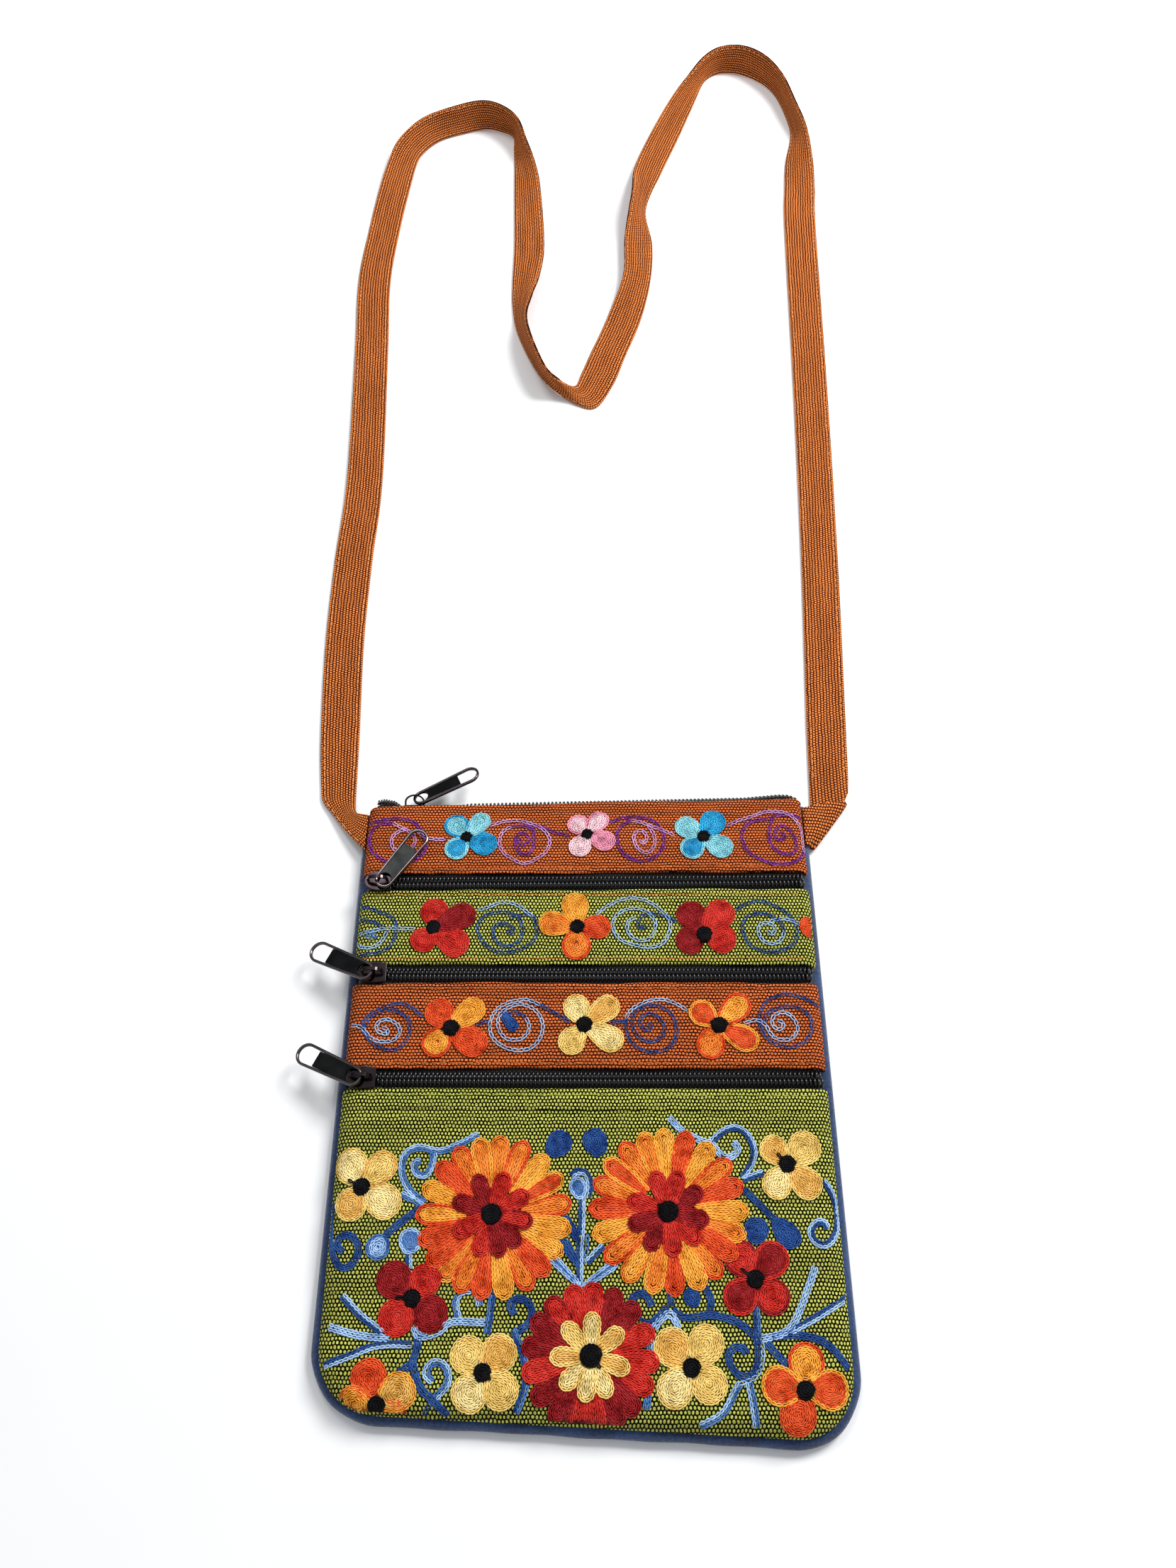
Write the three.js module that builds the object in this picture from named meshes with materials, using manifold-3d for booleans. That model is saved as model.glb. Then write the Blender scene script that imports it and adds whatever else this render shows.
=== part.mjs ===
// Travel document pouch: a flat cloth pouch that lies on its back with its shoulder strap laid out.
// Millimetres, +Z up. The origin is on the table under the middle of the back panel,
// +X runs across the pouch, +Y towards its mouth, and +Z out of the embroidered front.
import * as THREE from 'three';
import { mergeVertices } from 'three/addons/utils/BufferGeometryUtils.js';
import Module from 'manifold-3d';

const wasm = await Module();
wasm.setup();

// Driving dimensions of the cloth
const PANEL_WIDTH = 179;
const CORNER_RADIUS = 20;
const WALL = 1.6;
const GAP = 0.3;
const ZIP_OPENING = 7.2;
const SEAM_ALLOWANCE = 2.0;
const HALF_WIDTH = PANEL_WIDTH / 2;

// Cross lines of the front: height on the centre line, and rise at the right side seam
const LINES = [
  { name: 'bottom', y: -113.0, rise: -4.4 },
  { name: 'zip_lower', y: -0.3, rise: 0.0 },
  { name: 'zip_middle', y: 39.7, rise: 0.0 },
  { name: 'zip_upper', y: 78.0, rise: 0.6 },
  { name: 'mouth', y: 112.4, rise: 2.0 },
];

// Filled form along the pouch: top of the front, radius of the rolled back edge, front shoulder
const FORM = [
  { y: -113.0, crown: 12.6, roll: 3.0, shoulder: 11.0 },
  { y: -60.0, crown: 13.0, roll: 3.0, shoulder: 9.0 },
  { y: 0.0, crown: 12.6, roll: 3.0, shoulder: 5.5 },
  { y: 78.0, crown: 11.8, roll: 2.9, shoulder: 5.0 },
  { y: 112.4, crown: 10.0, roll: 2.2, shoulder: 5.0 },
];

// Front pieces between the cross lines, with the height that each one bulges
const PANELS = [
  { name: 'front_panel', low: 'bottom', high: 'zip_lower', puff: 1.2, colour: 0x93a83a },
  { name: 'band_lower', low: 'zip_lower', high: 'zip_middle', puff: 0.7, colour: 0xb85c1c },
  { name: 'band_middle', low: 'zip_middle', high: 'zip_upper', puff: 0.7, colour: 0x93a83a },
  { name: 'band_upper', low: 'zip_upper', high: 'mouth', puff: 0.6, colour: 0xb85c1c },
];

// Mesh lines: distances in from each side seam, up from the bottom seam, and in from a cloth edge
const SIDE_STEPS = [0, 0.3, 1.1, 2.4, 4.2, 7, 16, 34, 60];
const BOTTOM_STEPS = [0, 0.3, 1.1, 2.4, 4.2, 7, 11, 16, 24, 38, 56, 76, 94];
const EDGE_STEP = 1.8;

// Coil zips
const TAPE = { thick: 0.7, underlap: 3.0, slit: 0.35, slitAtNeck: 1.6, endInset: 0.8 };
const COIL = { halfWidth: 2.5, height: 2.2, base: 0.25, endInset: 1.0, sides: 6 };
const MOUTH_ZIP = { z: 5.0, sunk: 0.3, endInset: 3.5, openHalfWidth: 3.0, lean: 20 };
const MOUTH_LIFT = [
  { x: -88, lift: 2.2 },
  { x: -78, lift: 0.0 },
  { x: -62, lift: 0.0 },
  { x: -48, lift: 0.6 },
  { x: 66, lift: 0.7 },
  { x: 88, lift: 1.5 },
];

// Slider: plates, flanges, neck between the parted chain, and the bridge that carries the pull
const SLIDER = { halfLength: 5.4, tailHalf: 3.7, waistHalf: 4.2, waistAt: 0.5, noseFlat: 2.6 };
const PLATE = { thick: 1.0, bevel: 0.2, flangeIn: 2.8, flangeOut: 3.3, flangeFrom: -0.5, flangeLow: 1.6 };
const NECK = { from: -2.7, to: -1.5, halfWidth: 1.2 };
const LOWER_PLATE = { thick: 0.9, halfWidth: 2.6 };
const BRIDGE = { halfLength: 4.1, band: 0.7, legTop: 1.8, rise: 3.0, width: 1.3, sunk: 0.3 };
const SLIDER_PLACES = { zip_upper: -82.2, zip_middle: -81.2, zip_lower: -81.9, zip_top: -71.0 };

// Pull: an eye at one end, a thin plate in the middle and an open window at the other end
const PULL = { eye: 2.7, rim: 1.1, farCentre: 21.5, farRadius: 4.4, thick: 1.4, bevel: 0.3 };
const PULL_PLATE = { end: 17.0, thick: 0.8, overlap: 0.4 };
// Rest pose of each pull on its slider: place of the eye above the plate, and turns in degrees
const PULL_REST = [
  { zip: 'zip_upper', eyeX: 2.9, eyeZ: 1.5, yaw: 57, pitch: -4, roll: 0 },
  { zip: 'zip_middle', eyeX: -2.8, eyeZ: 1.8, yaw: 154, pitch: -15, roll: 0 },
  { zip: 'zip_lower', eyeX: -2.8, eyeZ: 1.8, yaw: 154, pitch: -15, roll: 0 },
  { zip: 'zip_top', eyeX: 3.0, eyeZ: 3.5, yaw: 3, pitch: 26, roll: 49 },
];

// Shoulder strap: both edges of the webbing (x, y, z each), from the left seam round to the right seam
const STRAP_THICK = 1.5;
const STRAP_ROUTE = [
  [-89.9, 93.5, 6.1, -89.9, 109.8, 5.9],
  [-95, 98, 4.6, -93.2, 110.5, 5.4],
  [-100, 103, 3.0, -95, 111.4, 4.6],
  [-105.5, 109.5, 1.8, -96, 113.5, 3.6],
  [-110, 117, 1.2, -96.5, 117.5, 2.4],
  [-112.4, 127, 1.0, -97, 126, 1.4],
  [-114.8, 150, 1.0, -98, 150, 1.0],
  [-117.6, 198, 1.0, -100.3, 198, 1.0],
  [-118, 244, 1.0, -100.4, 244, 1.0],
  [-116.8, 294, 1.6, -99.5, 294, 1.0],
  [-120.7, 380, 1.2, -103.5, 380, 1.0],
  [-123.7, 434, 1.0, -106.3, 434, 1.0],
  [-121.4, 477, 1.0, -104.1, 477, 1.0],
  [-118.4, 508, 2.0, -101.3, 508, 1.0],
  [-114.6, 529, 4.5, -98.5, 532, 1.0],
  [-109, 545, 8.0, -95, 543, 0.7],
  [-95, 558, 12.5, -86.5, 554, 0.4],
  [-76, 564, 15.8, -74, 560.5, 0.4],
  [-60, 567, 17.0, -60, 565, 0.4],
  [-48, 562, 16.8, -50, 562.5, 0.4],
  [-39.5, 552, 16.0, -42.8, 557, 0.4],
  [-34.5, 538, 13.0, -42.3, 545, 0.4],
  [-29.6, 525, 8.5, -41.5, 530, 0.7],
  [-26.2, 508, 5.0, -41, 510, 1.0],
  [-23.2, 463, 1.5, -39.8, 463, 1.0],
  [-25.2, 434, 5.0, -39.9, 434, 1.0],
  [-28.5, 412, 11.0, -39.2, 414, 0.7],
  [-30.5, 388, 15.5, -35.5, 393, 0.4],
  [-21.5, 357, 16.0, -23.4, 364, 0.4],
  [-14, 351.5, 11.0, -8.5, 347, 0.7],
  [-6, 355.5, 1.8, 4.5, 341.7, 1.0],
  [-2, 366, 1.4, 14, 357.5, 1.0],
  [2.5, 380, 1.2, 20.3, 377, 1.0],
  [11.5, 406, 1.8, 29, 404, 1.0],
  [20, 434, 6.0, 34.9, 434, 1.0],
  [21.2, 463, 7.0, 36.6, 463, 0.7],
  [25.4, 490, 14.5, 33.6, 493, 0.4],
  [27.6, 522, 6.0, 43.4, 524, 1.0],
  [37, 556, 2.2, 54.1, 555, 1.0],
  [50.5, 586, 6.0, 65.4, 590, 1.0],
  [60.5, 600, 10.5, 70.5, 607, 0.7],
  [71, 613, 14.8, 75.5, 615.5, 0.4],
  [82, 621, 16.0, 83, 619.5, 0.4],
  [96, 620, 16.8, 93, 618.5, 0.4],
  [108, 610, 16.8, 104, 612, 0.4],
  [117, 594, 15.5, 113.5, 600, 0.4],
  [122.8, 572, 14.0, 119, 580, 0.4],
  [128, 552, 11.5, 121, 558, 0.7],
  [130.5, 530, 7.0, 116, 533, 0.7],
  [130.6, 508, 2.5, 113.5, 508, 1.0],
  [128.6, 477, 1.2, 111.2, 477, 1.0],
  [123.7, 354, 1.0, 106.4, 354, 1.0],
  [118.5, 244, 1.0, 101.3, 244, 1.0],
  [113.3, 156, 1.0, 96.2, 156, 1.0],
  [111.7, 129, 1.0, 95, 129, 1.0],
  [111.2, 122, 1.0, 94.4, 116, 1.0],
  [110.0, 119.6, 1.0, 92.6, 96.6, 1.0],
  [110.9, 118.8, 2.1, 93.4, 95.6, 2.1],
  [110.0, 119.6, 3.2, 92.6, 96.6, 3.2],
  [101.0, 116.6, 4.8, 91.7, 96.4, 5.3],
  [89.9, 113.0, 6.1, 89.9, 96.2, 6.2],
];

// Finishes
const CLOTH_ROUGH = 0.9;
const NAVY = 0x1f3560;
const BLACK = 0x101012;
const STRAP_ORANGE = 0xb5591b;
const GUNMETAL = 0x2b2628;
const METAL_ROUGH = 0.3;

const pouch = new THREE.Group();

function cloth(colour) {
  return new THREE.MeshStandardMaterial({ color: colour, roughness: CLOTH_ROUGH, metalness: 0 });
}

function metal(colour) {
  return new THREE.MeshStandardMaterial({ color: colour, roughness: METAL_ROUGH, metalness: 1 });
}

function addPiece(parent, name, geometry, material) {
  const mesh = new THREE.Mesh(geometry, material);
  mesh.name = name;
  parent.add(mesh);
  return mesh;
}

// Linear value of one column of a table whose rows are ordered by key
function along(table, key, at, column) {
  const last = table.length - 1;
  let i = 0;
  while (i < last - 1 && at > table[i + 1][key]) i += 1;
  const low = table[i];
  const high = table[i + 1];
  const t = THREE.MathUtils.clamp((at - low[key]) / (high[key] - low[key]), 0, 1);
  return THREE.MathUtils.lerp(low[column], high[column], t);
}

function lineY(name) {
  return LINES.find((line) => line.name === name).y;
}

const BOTTOM = lineY('bottom');
const MOUTH = lineY('mouth');

// Points are worked out on a straight pouch, then sheared so that the cross lines slope as made
function place(x, y, z) {
  return new THREE.Vector3(x, y + along(LINES, 'y', y, 'rise') * (x / HALF_WIDTH), z);
}

function halfWidthAt(y) {
  const intoCorner = BOTTOM + CORNER_RADIUS - y;
  if (intoCorner <= 0) return HALF_WIDTH;
  const reach = Math.sqrt(Math.max(0, CORNER_RADIUS ** 2 - intoCorner ** 2));
  return HALF_WIDTH - CORNER_RADIUS + reach;
}

// Distance in from the side and bottom seams
function edgeDistance(x, y) {
  const overX = Math.abs(x) - (HALF_WIDTH - CORNER_RADIUS);
  const overY = BOTTOM + CORNER_RADIUS - y;
  const outside = Math.hypot(Math.max(overX, 0), Math.max(overY, 0));
  const inside = Math.min(Math.max(overX, overY), 0);
  return CORNER_RADIUS - outside - inside;
}

function seamHeight(y) {
  return 2 * along(FORM, 'y', y, 'roll') + GAP;
}

function panelEdges(panel) {
  const low = lineY(panel.low) + (panel.low === 'bottom' ? 0 : ZIP_OPENING / 2);
  const high = lineY(panel.high) - (panel.high === 'mouth' ? 0 : ZIP_OPENING / 2);
  return { low, high };
}

function puffAt(x, y) {
  for (const panel of PANELS) {
    const { low, high } = panelEdges(panel);
    if (y > low && y < high) {
      const lengthwise = Math.sin((Math.PI * (y - low)) / (high - low));
      return panel.puff * lengthwise * (1 - (x / HALF_WIDTH) ** 2);
    }
  }
  return 0;
}

function shoulderPart(x, y) {
  return THREE.MathUtils.clamp(edgeDistance(x, y) / along(FORM, 'y', y, 'shoulder'), 0, 1);
}

function frontHeight(x, y) {
  const seam = seamHeight(y);
  const rounding = Math.sqrt(1 - (1 - shoulderPart(x, y)) ** 2);
  return seam + (along(FORM, 'y', y, 'crown') + puffAt(x, y) - seam) * rounding;
}

// Outward direction of the front, from the slope of its rounded shoulder
function frontNormal(x, y) {
  const steepest = 0.004;
  const step = 0.05;
  const t = Math.max(shoulderPart(x, y), steepest);
  if (t >= 1) return new THREE.Vector3(0, 0, 1);
  const rise = along(FORM, 'y', y, 'crown') - seamHeight(y);
  const slope = ((rise / along(FORM, 'y', y, 'shoulder')) * (1 - t)) / Math.sqrt(1 - (1 - t) ** 2);
  const inX = (edgeDistance(x + step, y) - edgeDistance(x - step, y)) / (2 * step);
  const inY = (edgeDistance(x, y + step) - edgeDistance(x, y - step)) / (2 * step);
  return new THREE.Vector3(-slope * inX, -slope * inY, 1).normalize();
}

// A point of the front's surface, sunk into the pouch by depth
function frontPoint(x, y, depth) {
  const normal = frontNormal(x, y);
  const z = frontHeight(x, y) - depth * normal.z;
  return place(x - depth * normal.x, y - depth * normal.y, z);
}

// Closed geometry from points and triangles, turned so that its faces point out
function closedGeometry(points, triangles) {
  let volume = 0;
  for (const [a, b, c] of triangles) {
    volume += points[a].dot(new THREE.Vector3().crossVectors(points[b], points[c]));
  }
  const index = triangles.flatMap(([a, b, c]) => (volume > 0 ? [a, b, c] : [a, c, b]));
  const geometry = new THREE.BufferGeometry();
  geometry.setAttribute('position', new THREE.Float32BufferAttribute(points.flatMap((p) => p.toArray()), 3));
  geometry.setIndex(index);
  geometry.computeVertexNormals();
  return geometry;
}

// A sheet with thickness: two like surfaces, joined all round their free border
function thickSheet(outer, inner, triangles) {
  const count = outer.length;
  const shell = [];
  const border = new Map();
  for (const [a, b, c] of triangles) {
    shell.push([a, b, c], [a + count, c + count, b + count]);
    for (const [from, to] of [[a, b], [b, c], [c, a]]) {
      if (!border.delete(`${to},${from}`)) border.set(`${from},${to}`, [from, to]);
    }
  }
  for (const [from, to] of border.values()) {
    shell.push([to, from, from + count], [to, from + count, to + count]);
  }
  return closedGeometry([...outer, ...inner], shell);
}

function gridTriangles(rows, columns) {
  const triangles = [];
  for (let r = 0; r < rows - 1; r += 1) {
    for (let c = 0; c < columns - 1; c += 1) {
      const at = r * columns + c;
      triangles.push([at, at + 1, at + columns + 1], [at, at + columns + 1, at + columns]);
    }
  }
  return triangles;
}

// A solid through sections that all have the same number of points, closed by flat ends
function loft(sections) {
  const sides = sections[0].length;
  const triangles = [];
  for (let s = 0; s < sections.length - 1; s += 1) {
    for (let k = 0; k < sides; k += 1) {
      const a = s * sides + k;
      const b = s * sides + ((k + 1) % sides);
      triangles.push([a, b, b + sides], [a, b + sides, a + sides]);
    }
  }
  const last = (sections.length - 1) * sides;
  for (let k = 1; k < sides - 1; k += 1) {
    triangles.push([0, k + 1, k], [last, last + k, last + k + 1]);
  }
  return closedGeometry(sections.flat(), triangles);
}

function toSolid(geometry) {
  const bare = geometry.clone();
  bare.deleteAttribute('normal');
  bare.deleteAttribute('uv');
  const merged = mergeVertices(bare);
  const vertProperties = new Float32Array(merged.attributes.position.array);
  const triVerts = new Uint32Array(merged.index.array);
  return new wasm.Manifold(new wasm.Mesh({ numProp: 3, vertProperties, triVerts }));
}

function fromSolid(solid) {
  const mesh = solid.getMesh();
  const geometry = new THREE.BufferGeometry();
  geometry.setAttribute('position', new THREE.Float32BufferAttribute(mesh.vertProperties, 3));
  geometry.setIndex(Array.from(mesh.triVerts));
  geometry.computeVertexNormals();
  return geometry;
}

// Stations across the pouch, close together over the rounded shoulders
function stations(halfWidth) {
  const left = SIDE_STEPS.map((step) => -halfWidth + (step * halfWidth) / HALF_WIDTH);
  const right = left.map((x) => -x).reverse();
  return [...left, 0, ...right];
}

function panelRows(panel) {
  const { low, high } = panelEdges(panel);
  if (panel.low === 'bottom') return [...BOTTOM_STEPS.map((step) => low + step), high - EDGE_STEP, high];
  return [low, low + EDGE_STEP, (low + high) / 2, high - EDGE_STEP, high];
}

function addFrontPanel(panel) {
  const rows = panelRows(panel);
  const outer = [];
  const inner = [];
  for (const y of rows) {
    for (const x of stations(halfWidthAt(y))) {
      outer.push(frontPoint(x, y, 0));
      inner.push(frontPoint(x, y, WALL));
    }
  }
  const columns = outer.length / rows.length;
  const geometry = thickSheet(outer, inner, gridTriangles(rows.length, columns));
  addPiece(pouch, panel.name, geometry, cloth(panel.colour));
}

// Seam line of the back from the mouth's left end round to its right end, with outward directions
function seamOutline() {
  const sideSteps = [MOUTH, 102, 92, 78, 40, 0, -50];
  const cornerSteps = 7;
  const bottomSteps = 4;
  const right = sideSteps.map((y) => ({ x: HALF_WIDTH, y, outX: 1, outY: 0 }));
  const flat = HALF_WIDTH - CORNER_RADIUS;
  for (let i = 0; i <= cornerSteps; i += 1) {
    const angle = (-Math.PI / 2) * (i / cornerSteps);
    const outX = Math.cos(angle);
    const outY = Math.sin(angle);
    const x = flat + CORNER_RADIUS * outX;
    right.push({ x, y: BOTTOM + CORNER_RADIUS * (1 + outY), outX, outY });
  }
  for (let i = 1; i < bottomSteps; i += 1) {
    right.push({ x: flat * (1 - i / bottomSteps), y: BOTTOM, outX: 0, outY: -1 });
  }
  const left = right.map((p) => ({ ...p, x: -p.x, outX: -p.outX }));
  const middle = { x: 0, y: BOTTOM, outX: 0, outY: -1 };
  return [...left, middle, ...right.reverse()];
}

// Section of the rolled back edge, from the seam allowance round the roll to the flat back
function rollSection(radius, skin) {
  const turns = 6;
  const flatFrom = 6;
  const section = [[-SEAM_ALLOWANCE, 2 * radius - skin]];
  for (let i = 0; i <= turns; i += 1) {
    const angle = Math.PI / 2 - (Math.PI * i) / turns;
    const reach = radius - skin;
    section.push([reach * Math.cos(angle), radius + reach * Math.sin(angle)]);
  }
  section.push([-flatFrom, skin]);
  return section;
}

function addBackPanel() {
  const outline = seamOutline();
  const outer = [];
  const inner = [];
  for (const seam of outline) {
    const radius = along(FORM, 'y', seam.y, 'roll');
    for (const [points, skin] of [[outer, 0], [inner, WALL]]) {
      for (const [out, z] of rollSection(radius, skin)) {
        points.push(place(seam.x + out * seam.outX, seam.y + out * seam.outY, z));
      }
    }
  }
  const columns = outer.length / outline.length;
  const triangles = gridTriangles(outline.length, columns);
  const rim = outline.map((seam, i) => i * columns + columns - 1);
  const contour = rim.map((i) => new THREE.Vector2(outer[i].x, outer[i].y));
  for (const [a, b, c] of THREE.ShapeUtils.triangulateShape(contour, [])) {
    triangles.push([rim[a], rim[b], rim[c]]);
  }
  addPiece(pouch, 'back_panel', thickSheet(outer, inner, consistent(triangles)), cloth(NAVY));
}

// Turns triangles so that neighbours agree on which way is out
function consistent(triangles) {
  const byEdge = new Map();
  triangles.forEach((triangle, i) => {
    for (let k = 0; k < 3; k += 1) {
      const key = [triangle[k], triangle[(k + 1) % 3]].sort((a, b) => a - b).join();
      byEdge.set(key, [...(byEdge.get(key) ?? []), i]);
    }
  });
  const turned = triangles.map((triangle) => [...triangle]);
  const seen = new Set([0]);
  const queue = [0];
  while (queue.length) {
    const i = queue.pop();
    for (let k = 0; k < 3; k += 1) {
      const from = turned[i][k];
      const to = turned[i][(k + 1) % 3];
      const key = [from, to].sort((a, b) => a - b).join();
      for (const j of byEdge.get(key)) {
        if (seen.has(j)) continue;
        const same = turned[j].some((v, n) => v === from && turned[j][(n + 1) % 3] === to);
        if (same) turned[j].reverse();
        seen.add(j);
        queue.push(j);
      }
    }
  }
  return turned;
}

// Half width of the slit between a zip's tapes, which part round the slider's neck
function slitAt(x, sliderX) {
  const t = THREE.MathUtils.smoothstep(x - sliderX, NECK.to + GAP, NECK.to + GAP + TAPE.slitAtNeck);
  return THREE.MathUtils.lerp(TAPE.slitAtNeck, TAPE.slit, t);
}

function tapeStations(sliderX, halfLength) {
  const neckEnd = sliderX + NECK.to + GAP;
  const added = [neckEnd, neckEnd + TAPE.slitAtNeck];
  const xs = stations(halfLength).filter((x) => added.every((a) => Math.abs(a - x) > GAP));
  return [...xs, ...added].sort((a, b) => a - b);
}

// Tapes of a zip across the front: one above and one below its chain, just under the cloth edges
function addFrontTapes(zip, y, sliderX) {
  const xs = tapeStations(sliderX, HALF_WIDTH - TAPE.endInset);
  const reach = ZIP_OPENING / 2 + TAPE.underlap;
  const sides = [['tape_1', 1], ['tape_2', -1]];
  for (const [part, side] of sides) {
    const outer = [];
    const inner = [];
    for (const edge of ['chain', 'cloth']) {
      for (const x of xs) {
        const across = y + side * (edge === 'chain' ? slitAt(x, sliderX) : reach);
        outer.push(frontPoint(x, across, WALL + GAP));
        inner.push(frontPoint(x, across, WALL + GAP + TAPE.thick));
      }
    }
    const geometry = thickSheet(outer, inner, gridTriangles(2, xs.length));
    addPiece(pouch, `${zip}_${part}`, geometry, cloth(BLACK));
  }
}

// Half-round section of a chain, as pairs of sideways and outward distances
function coilSection(halfWidth) {
  const section = [];
  for (let k = 0; k <= COIL.sides; k += 1) {
    const angle = (Math.PI * k) / COIL.sides;
    section.push([halfWidth * Math.cos(angle), COIL.base + (COIL.height - COIL.base) * Math.sin(angle)]);
  }
  return section;
}

function addFrontCoil(zip, y, sliderX) {
  const from = sliderX + NECK.to + GAP;
  const to = HALF_WIDTH - COIL.endInset;
  const xs = [from, ...stations(to).filter((x) => x > from + GAP)];
  const sections = xs.map((x) => {
    return coilSection(COIL.halfWidth).map(([side, out]) => frontPoint(x, y + side, WALL + GAP - out));
  });
  addPiece(pouch, `${zip}_coil`, loft(sections), cloth(BLACK));
}

// Point of the mouth's zip, which leans to the front: distance out of its tapes and sideways from its middle
const MOUTH_LEAN = THREE.MathUtils.degToRad(MOUTH_ZIP.lean);
function mouthPoint(x, out, side) {
  const y = MOUTH - MOUTH_ZIP.sunk + out * Math.cos(MOUTH_LEAN) - side * Math.sin(MOUTH_LEAN);
  return place(x, y, MOUTH_ZIP.z + out * Math.sin(MOUTH_LEAN) + side * Math.cos(MOUTH_LEAN));
}

// Tapes of the mouth's zip: strips just inside the mouth, one to the front and one to the back
function addMouthTapes(sliderX) {
  const xs = tapeStations(sliderX, HALF_WIDTH - MOUTH_ZIP.endInset);
  const spans = {
    zip_top_tape_1: (x) => [slitAt(x, sliderX), frontPoint(x, MOUTH, WALL).z - GAP - MOUTH_ZIP.z],
    zip_top_tape_2: (x) => [WALL + GAP - MOUTH_ZIP.z, -slitAt(x, sliderX)],
  };
  for (const [name, span] of Object.entries(spans)) {
    const sections = xs.map((x) => {
      const [low, high] = span(x);
      const ring = [[0, low], [0, high], [-TAPE.thick, high], [-TAPE.thick, low]];
      return ring.map(([out, side]) => mouthPoint(x, out, side));
    });
    addPiece(pouch, name, loft(sections), cloth(BLACK));
  }
}

// Chain of the mouth's zip, which stands out past the mouth and is parted left of its slider
function addMouthCoil(sliderX) {
  const end = HALF_WIDTH - MOUTH_ZIP.endInset;
  const parting = sliderX + NECK.to + GAP;
  const xs = [-end, -78, parting - GAP, parting + GAP, -62, -48, -20, 20, 50, 66, 78, end];
  const sections = xs.map((x) => {
    const halfWidth = x < parting ? MOUTH_ZIP.openHalfWidth : COIL.halfWidth;
    const lift = along(MOUTH_LIFT, 'x', x, 'lift');
    return coilSection(halfWidth).map(([side, out]) => mouthPoint(x, lift + out, side));
  });
  const slotLength = parting + HALF_WIDTH;
  const slot = new THREE.BoxGeometry(slotLength, PANEL_WIDTH, 2 * TAPE.slitAtNeck);
  slot.rotateX(MOUTH_LEAN);
  slot.translate(...mouthPoint(parting - slotLength / 2, 0, 0).toArray());
  const chain = toSolid(loft(sections)).subtract(toSolid(slot));
  addPiece(pouch, 'zip_top_coil', fromSolid(chain), cloth(BLACK));
}

function block(x0, x1, y0, y1, z0, z1) {
  const box = new THREE.BoxGeometry(x1 - x0, y1 - y0, z1 - z0);
  return box.translate((x0 + x1) / 2, (y0 + y1) / 2, (z0 + z1) / 2);
}

// Heights on a slider above the top of its tapes
const PLATE_UNDER = COIL.height + GAP;
const PLATE_TOP = PLATE_UNDER + PLATE.thick;
const LOWER_TOP = -TAPE.thick - GAP;

function sliderPlate() {
  const { halfLength, tailHalf, waistHalf, waistAt, noseFlat } = SLIDER;
  const outline = new THREE.Shape();
  outline.moveTo(halfLength, -tailHalf);
  outline.lineTo(halfLength, tailHalf);
  outline.lineTo(waistAt, waistHalf);
  outline.bezierCurveTo(-noseFlat, waistHalf, -halfLength, noseFlat, -halfLength, 0);
  outline.bezierCurveTo(-halfLength, -noseFlat, -noseFlat, -waistHalf, waistAt, -waistHalf);
  const plate = new THREE.ExtrudeGeometry(outline, {
    depth: PLATE.thick - 2 * PLATE.bevel,
    bevelThickness: PLATE.bevel,
    bevelSize: PLATE.bevel,
    bevelOffset: -PLATE.bevel,
    bevelSegments: 1,
    curveSegments: 6,
  });
  return plate.translate(0, 0, PLATE_UNDER + PLATE.bevel);
}

function sliderBridge() {
  const { halfLength, band, legTop, rise, width, sunk } = BRIDGE;
  const innerHalf = halfLength - band;
  const arch = new THREE.Shape();
  arch.moveTo(-halfLength, -sunk);
  arch.lineTo(-halfLength, legTop);
  arch.absellipse(0, legTop, halfLength, rise, Math.PI, 0, true);
  arch.lineTo(halfLength, -sunk);
  arch.lineTo(innerHalf, -sunk);
  arch.lineTo(innerHalf, legTop);
  arch.absellipse(0, legTop, innerHalf, rise - band, 0, Math.PI, false);
  arch.lineTo(-innerHalf, -sunk);
  const strip = new THREE.ExtrudeGeometry(arch, { depth: width, bevelEnabled: false, curveSegments: 7 });
  strip.translate(0, 0, -width / 2);
  strip.rotateX(Math.PI / 2);
  return strip.translate(0, 0, PLATE_TOP);
}

function sliderGeometry() {
  const { flangeIn, flangeOut, flangeFrom, flangeLow } = PLATE;
  const tail = SLIDER.halfLength - PLATE.bevel;
  const joined = PLATE_UNDER + PLATE.thick / 2;
  const lowerBottom = LOWER_TOP - LOWER_PLATE.thick;
  const lowerInside = LOWER_TOP - LOWER_PLATE.thick / 2;
  const pieces = [
    sliderBridge(),
    block(flangeFrom, tail, flangeIn, flangeOut, flangeLow, joined),
    block(flangeFrom, tail, -flangeOut, -flangeIn, flangeLow, joined),
    block(NECK.from, NECK.to, -NECK.halfWidth, NECK.halfWidth, lowerInside, joined),
    block(NECK.from, tail, -LOWER_PLATE.halfWidth, LOWER_PLATE.halfWidth, lowerBottom, LOWER_TOP),
  ];
  const whole = pieces.reduce((solid, piece) => solid.add(toSolid(piece)), toSolid(sliderPlate()));
  return fromSolid(whole);
}

function stadium(path, nearRadius, farRadius) {
  path.absarc(0, 0, nearRadius, Math.PI / 2, (3 * Math.PI) / 2, false);
  path.absarc(PULL.farCentre, 0, farRadius, -Math.PI / 2, Math.PI / 2, false);
  path.closePath();
  return path;
}

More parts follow.
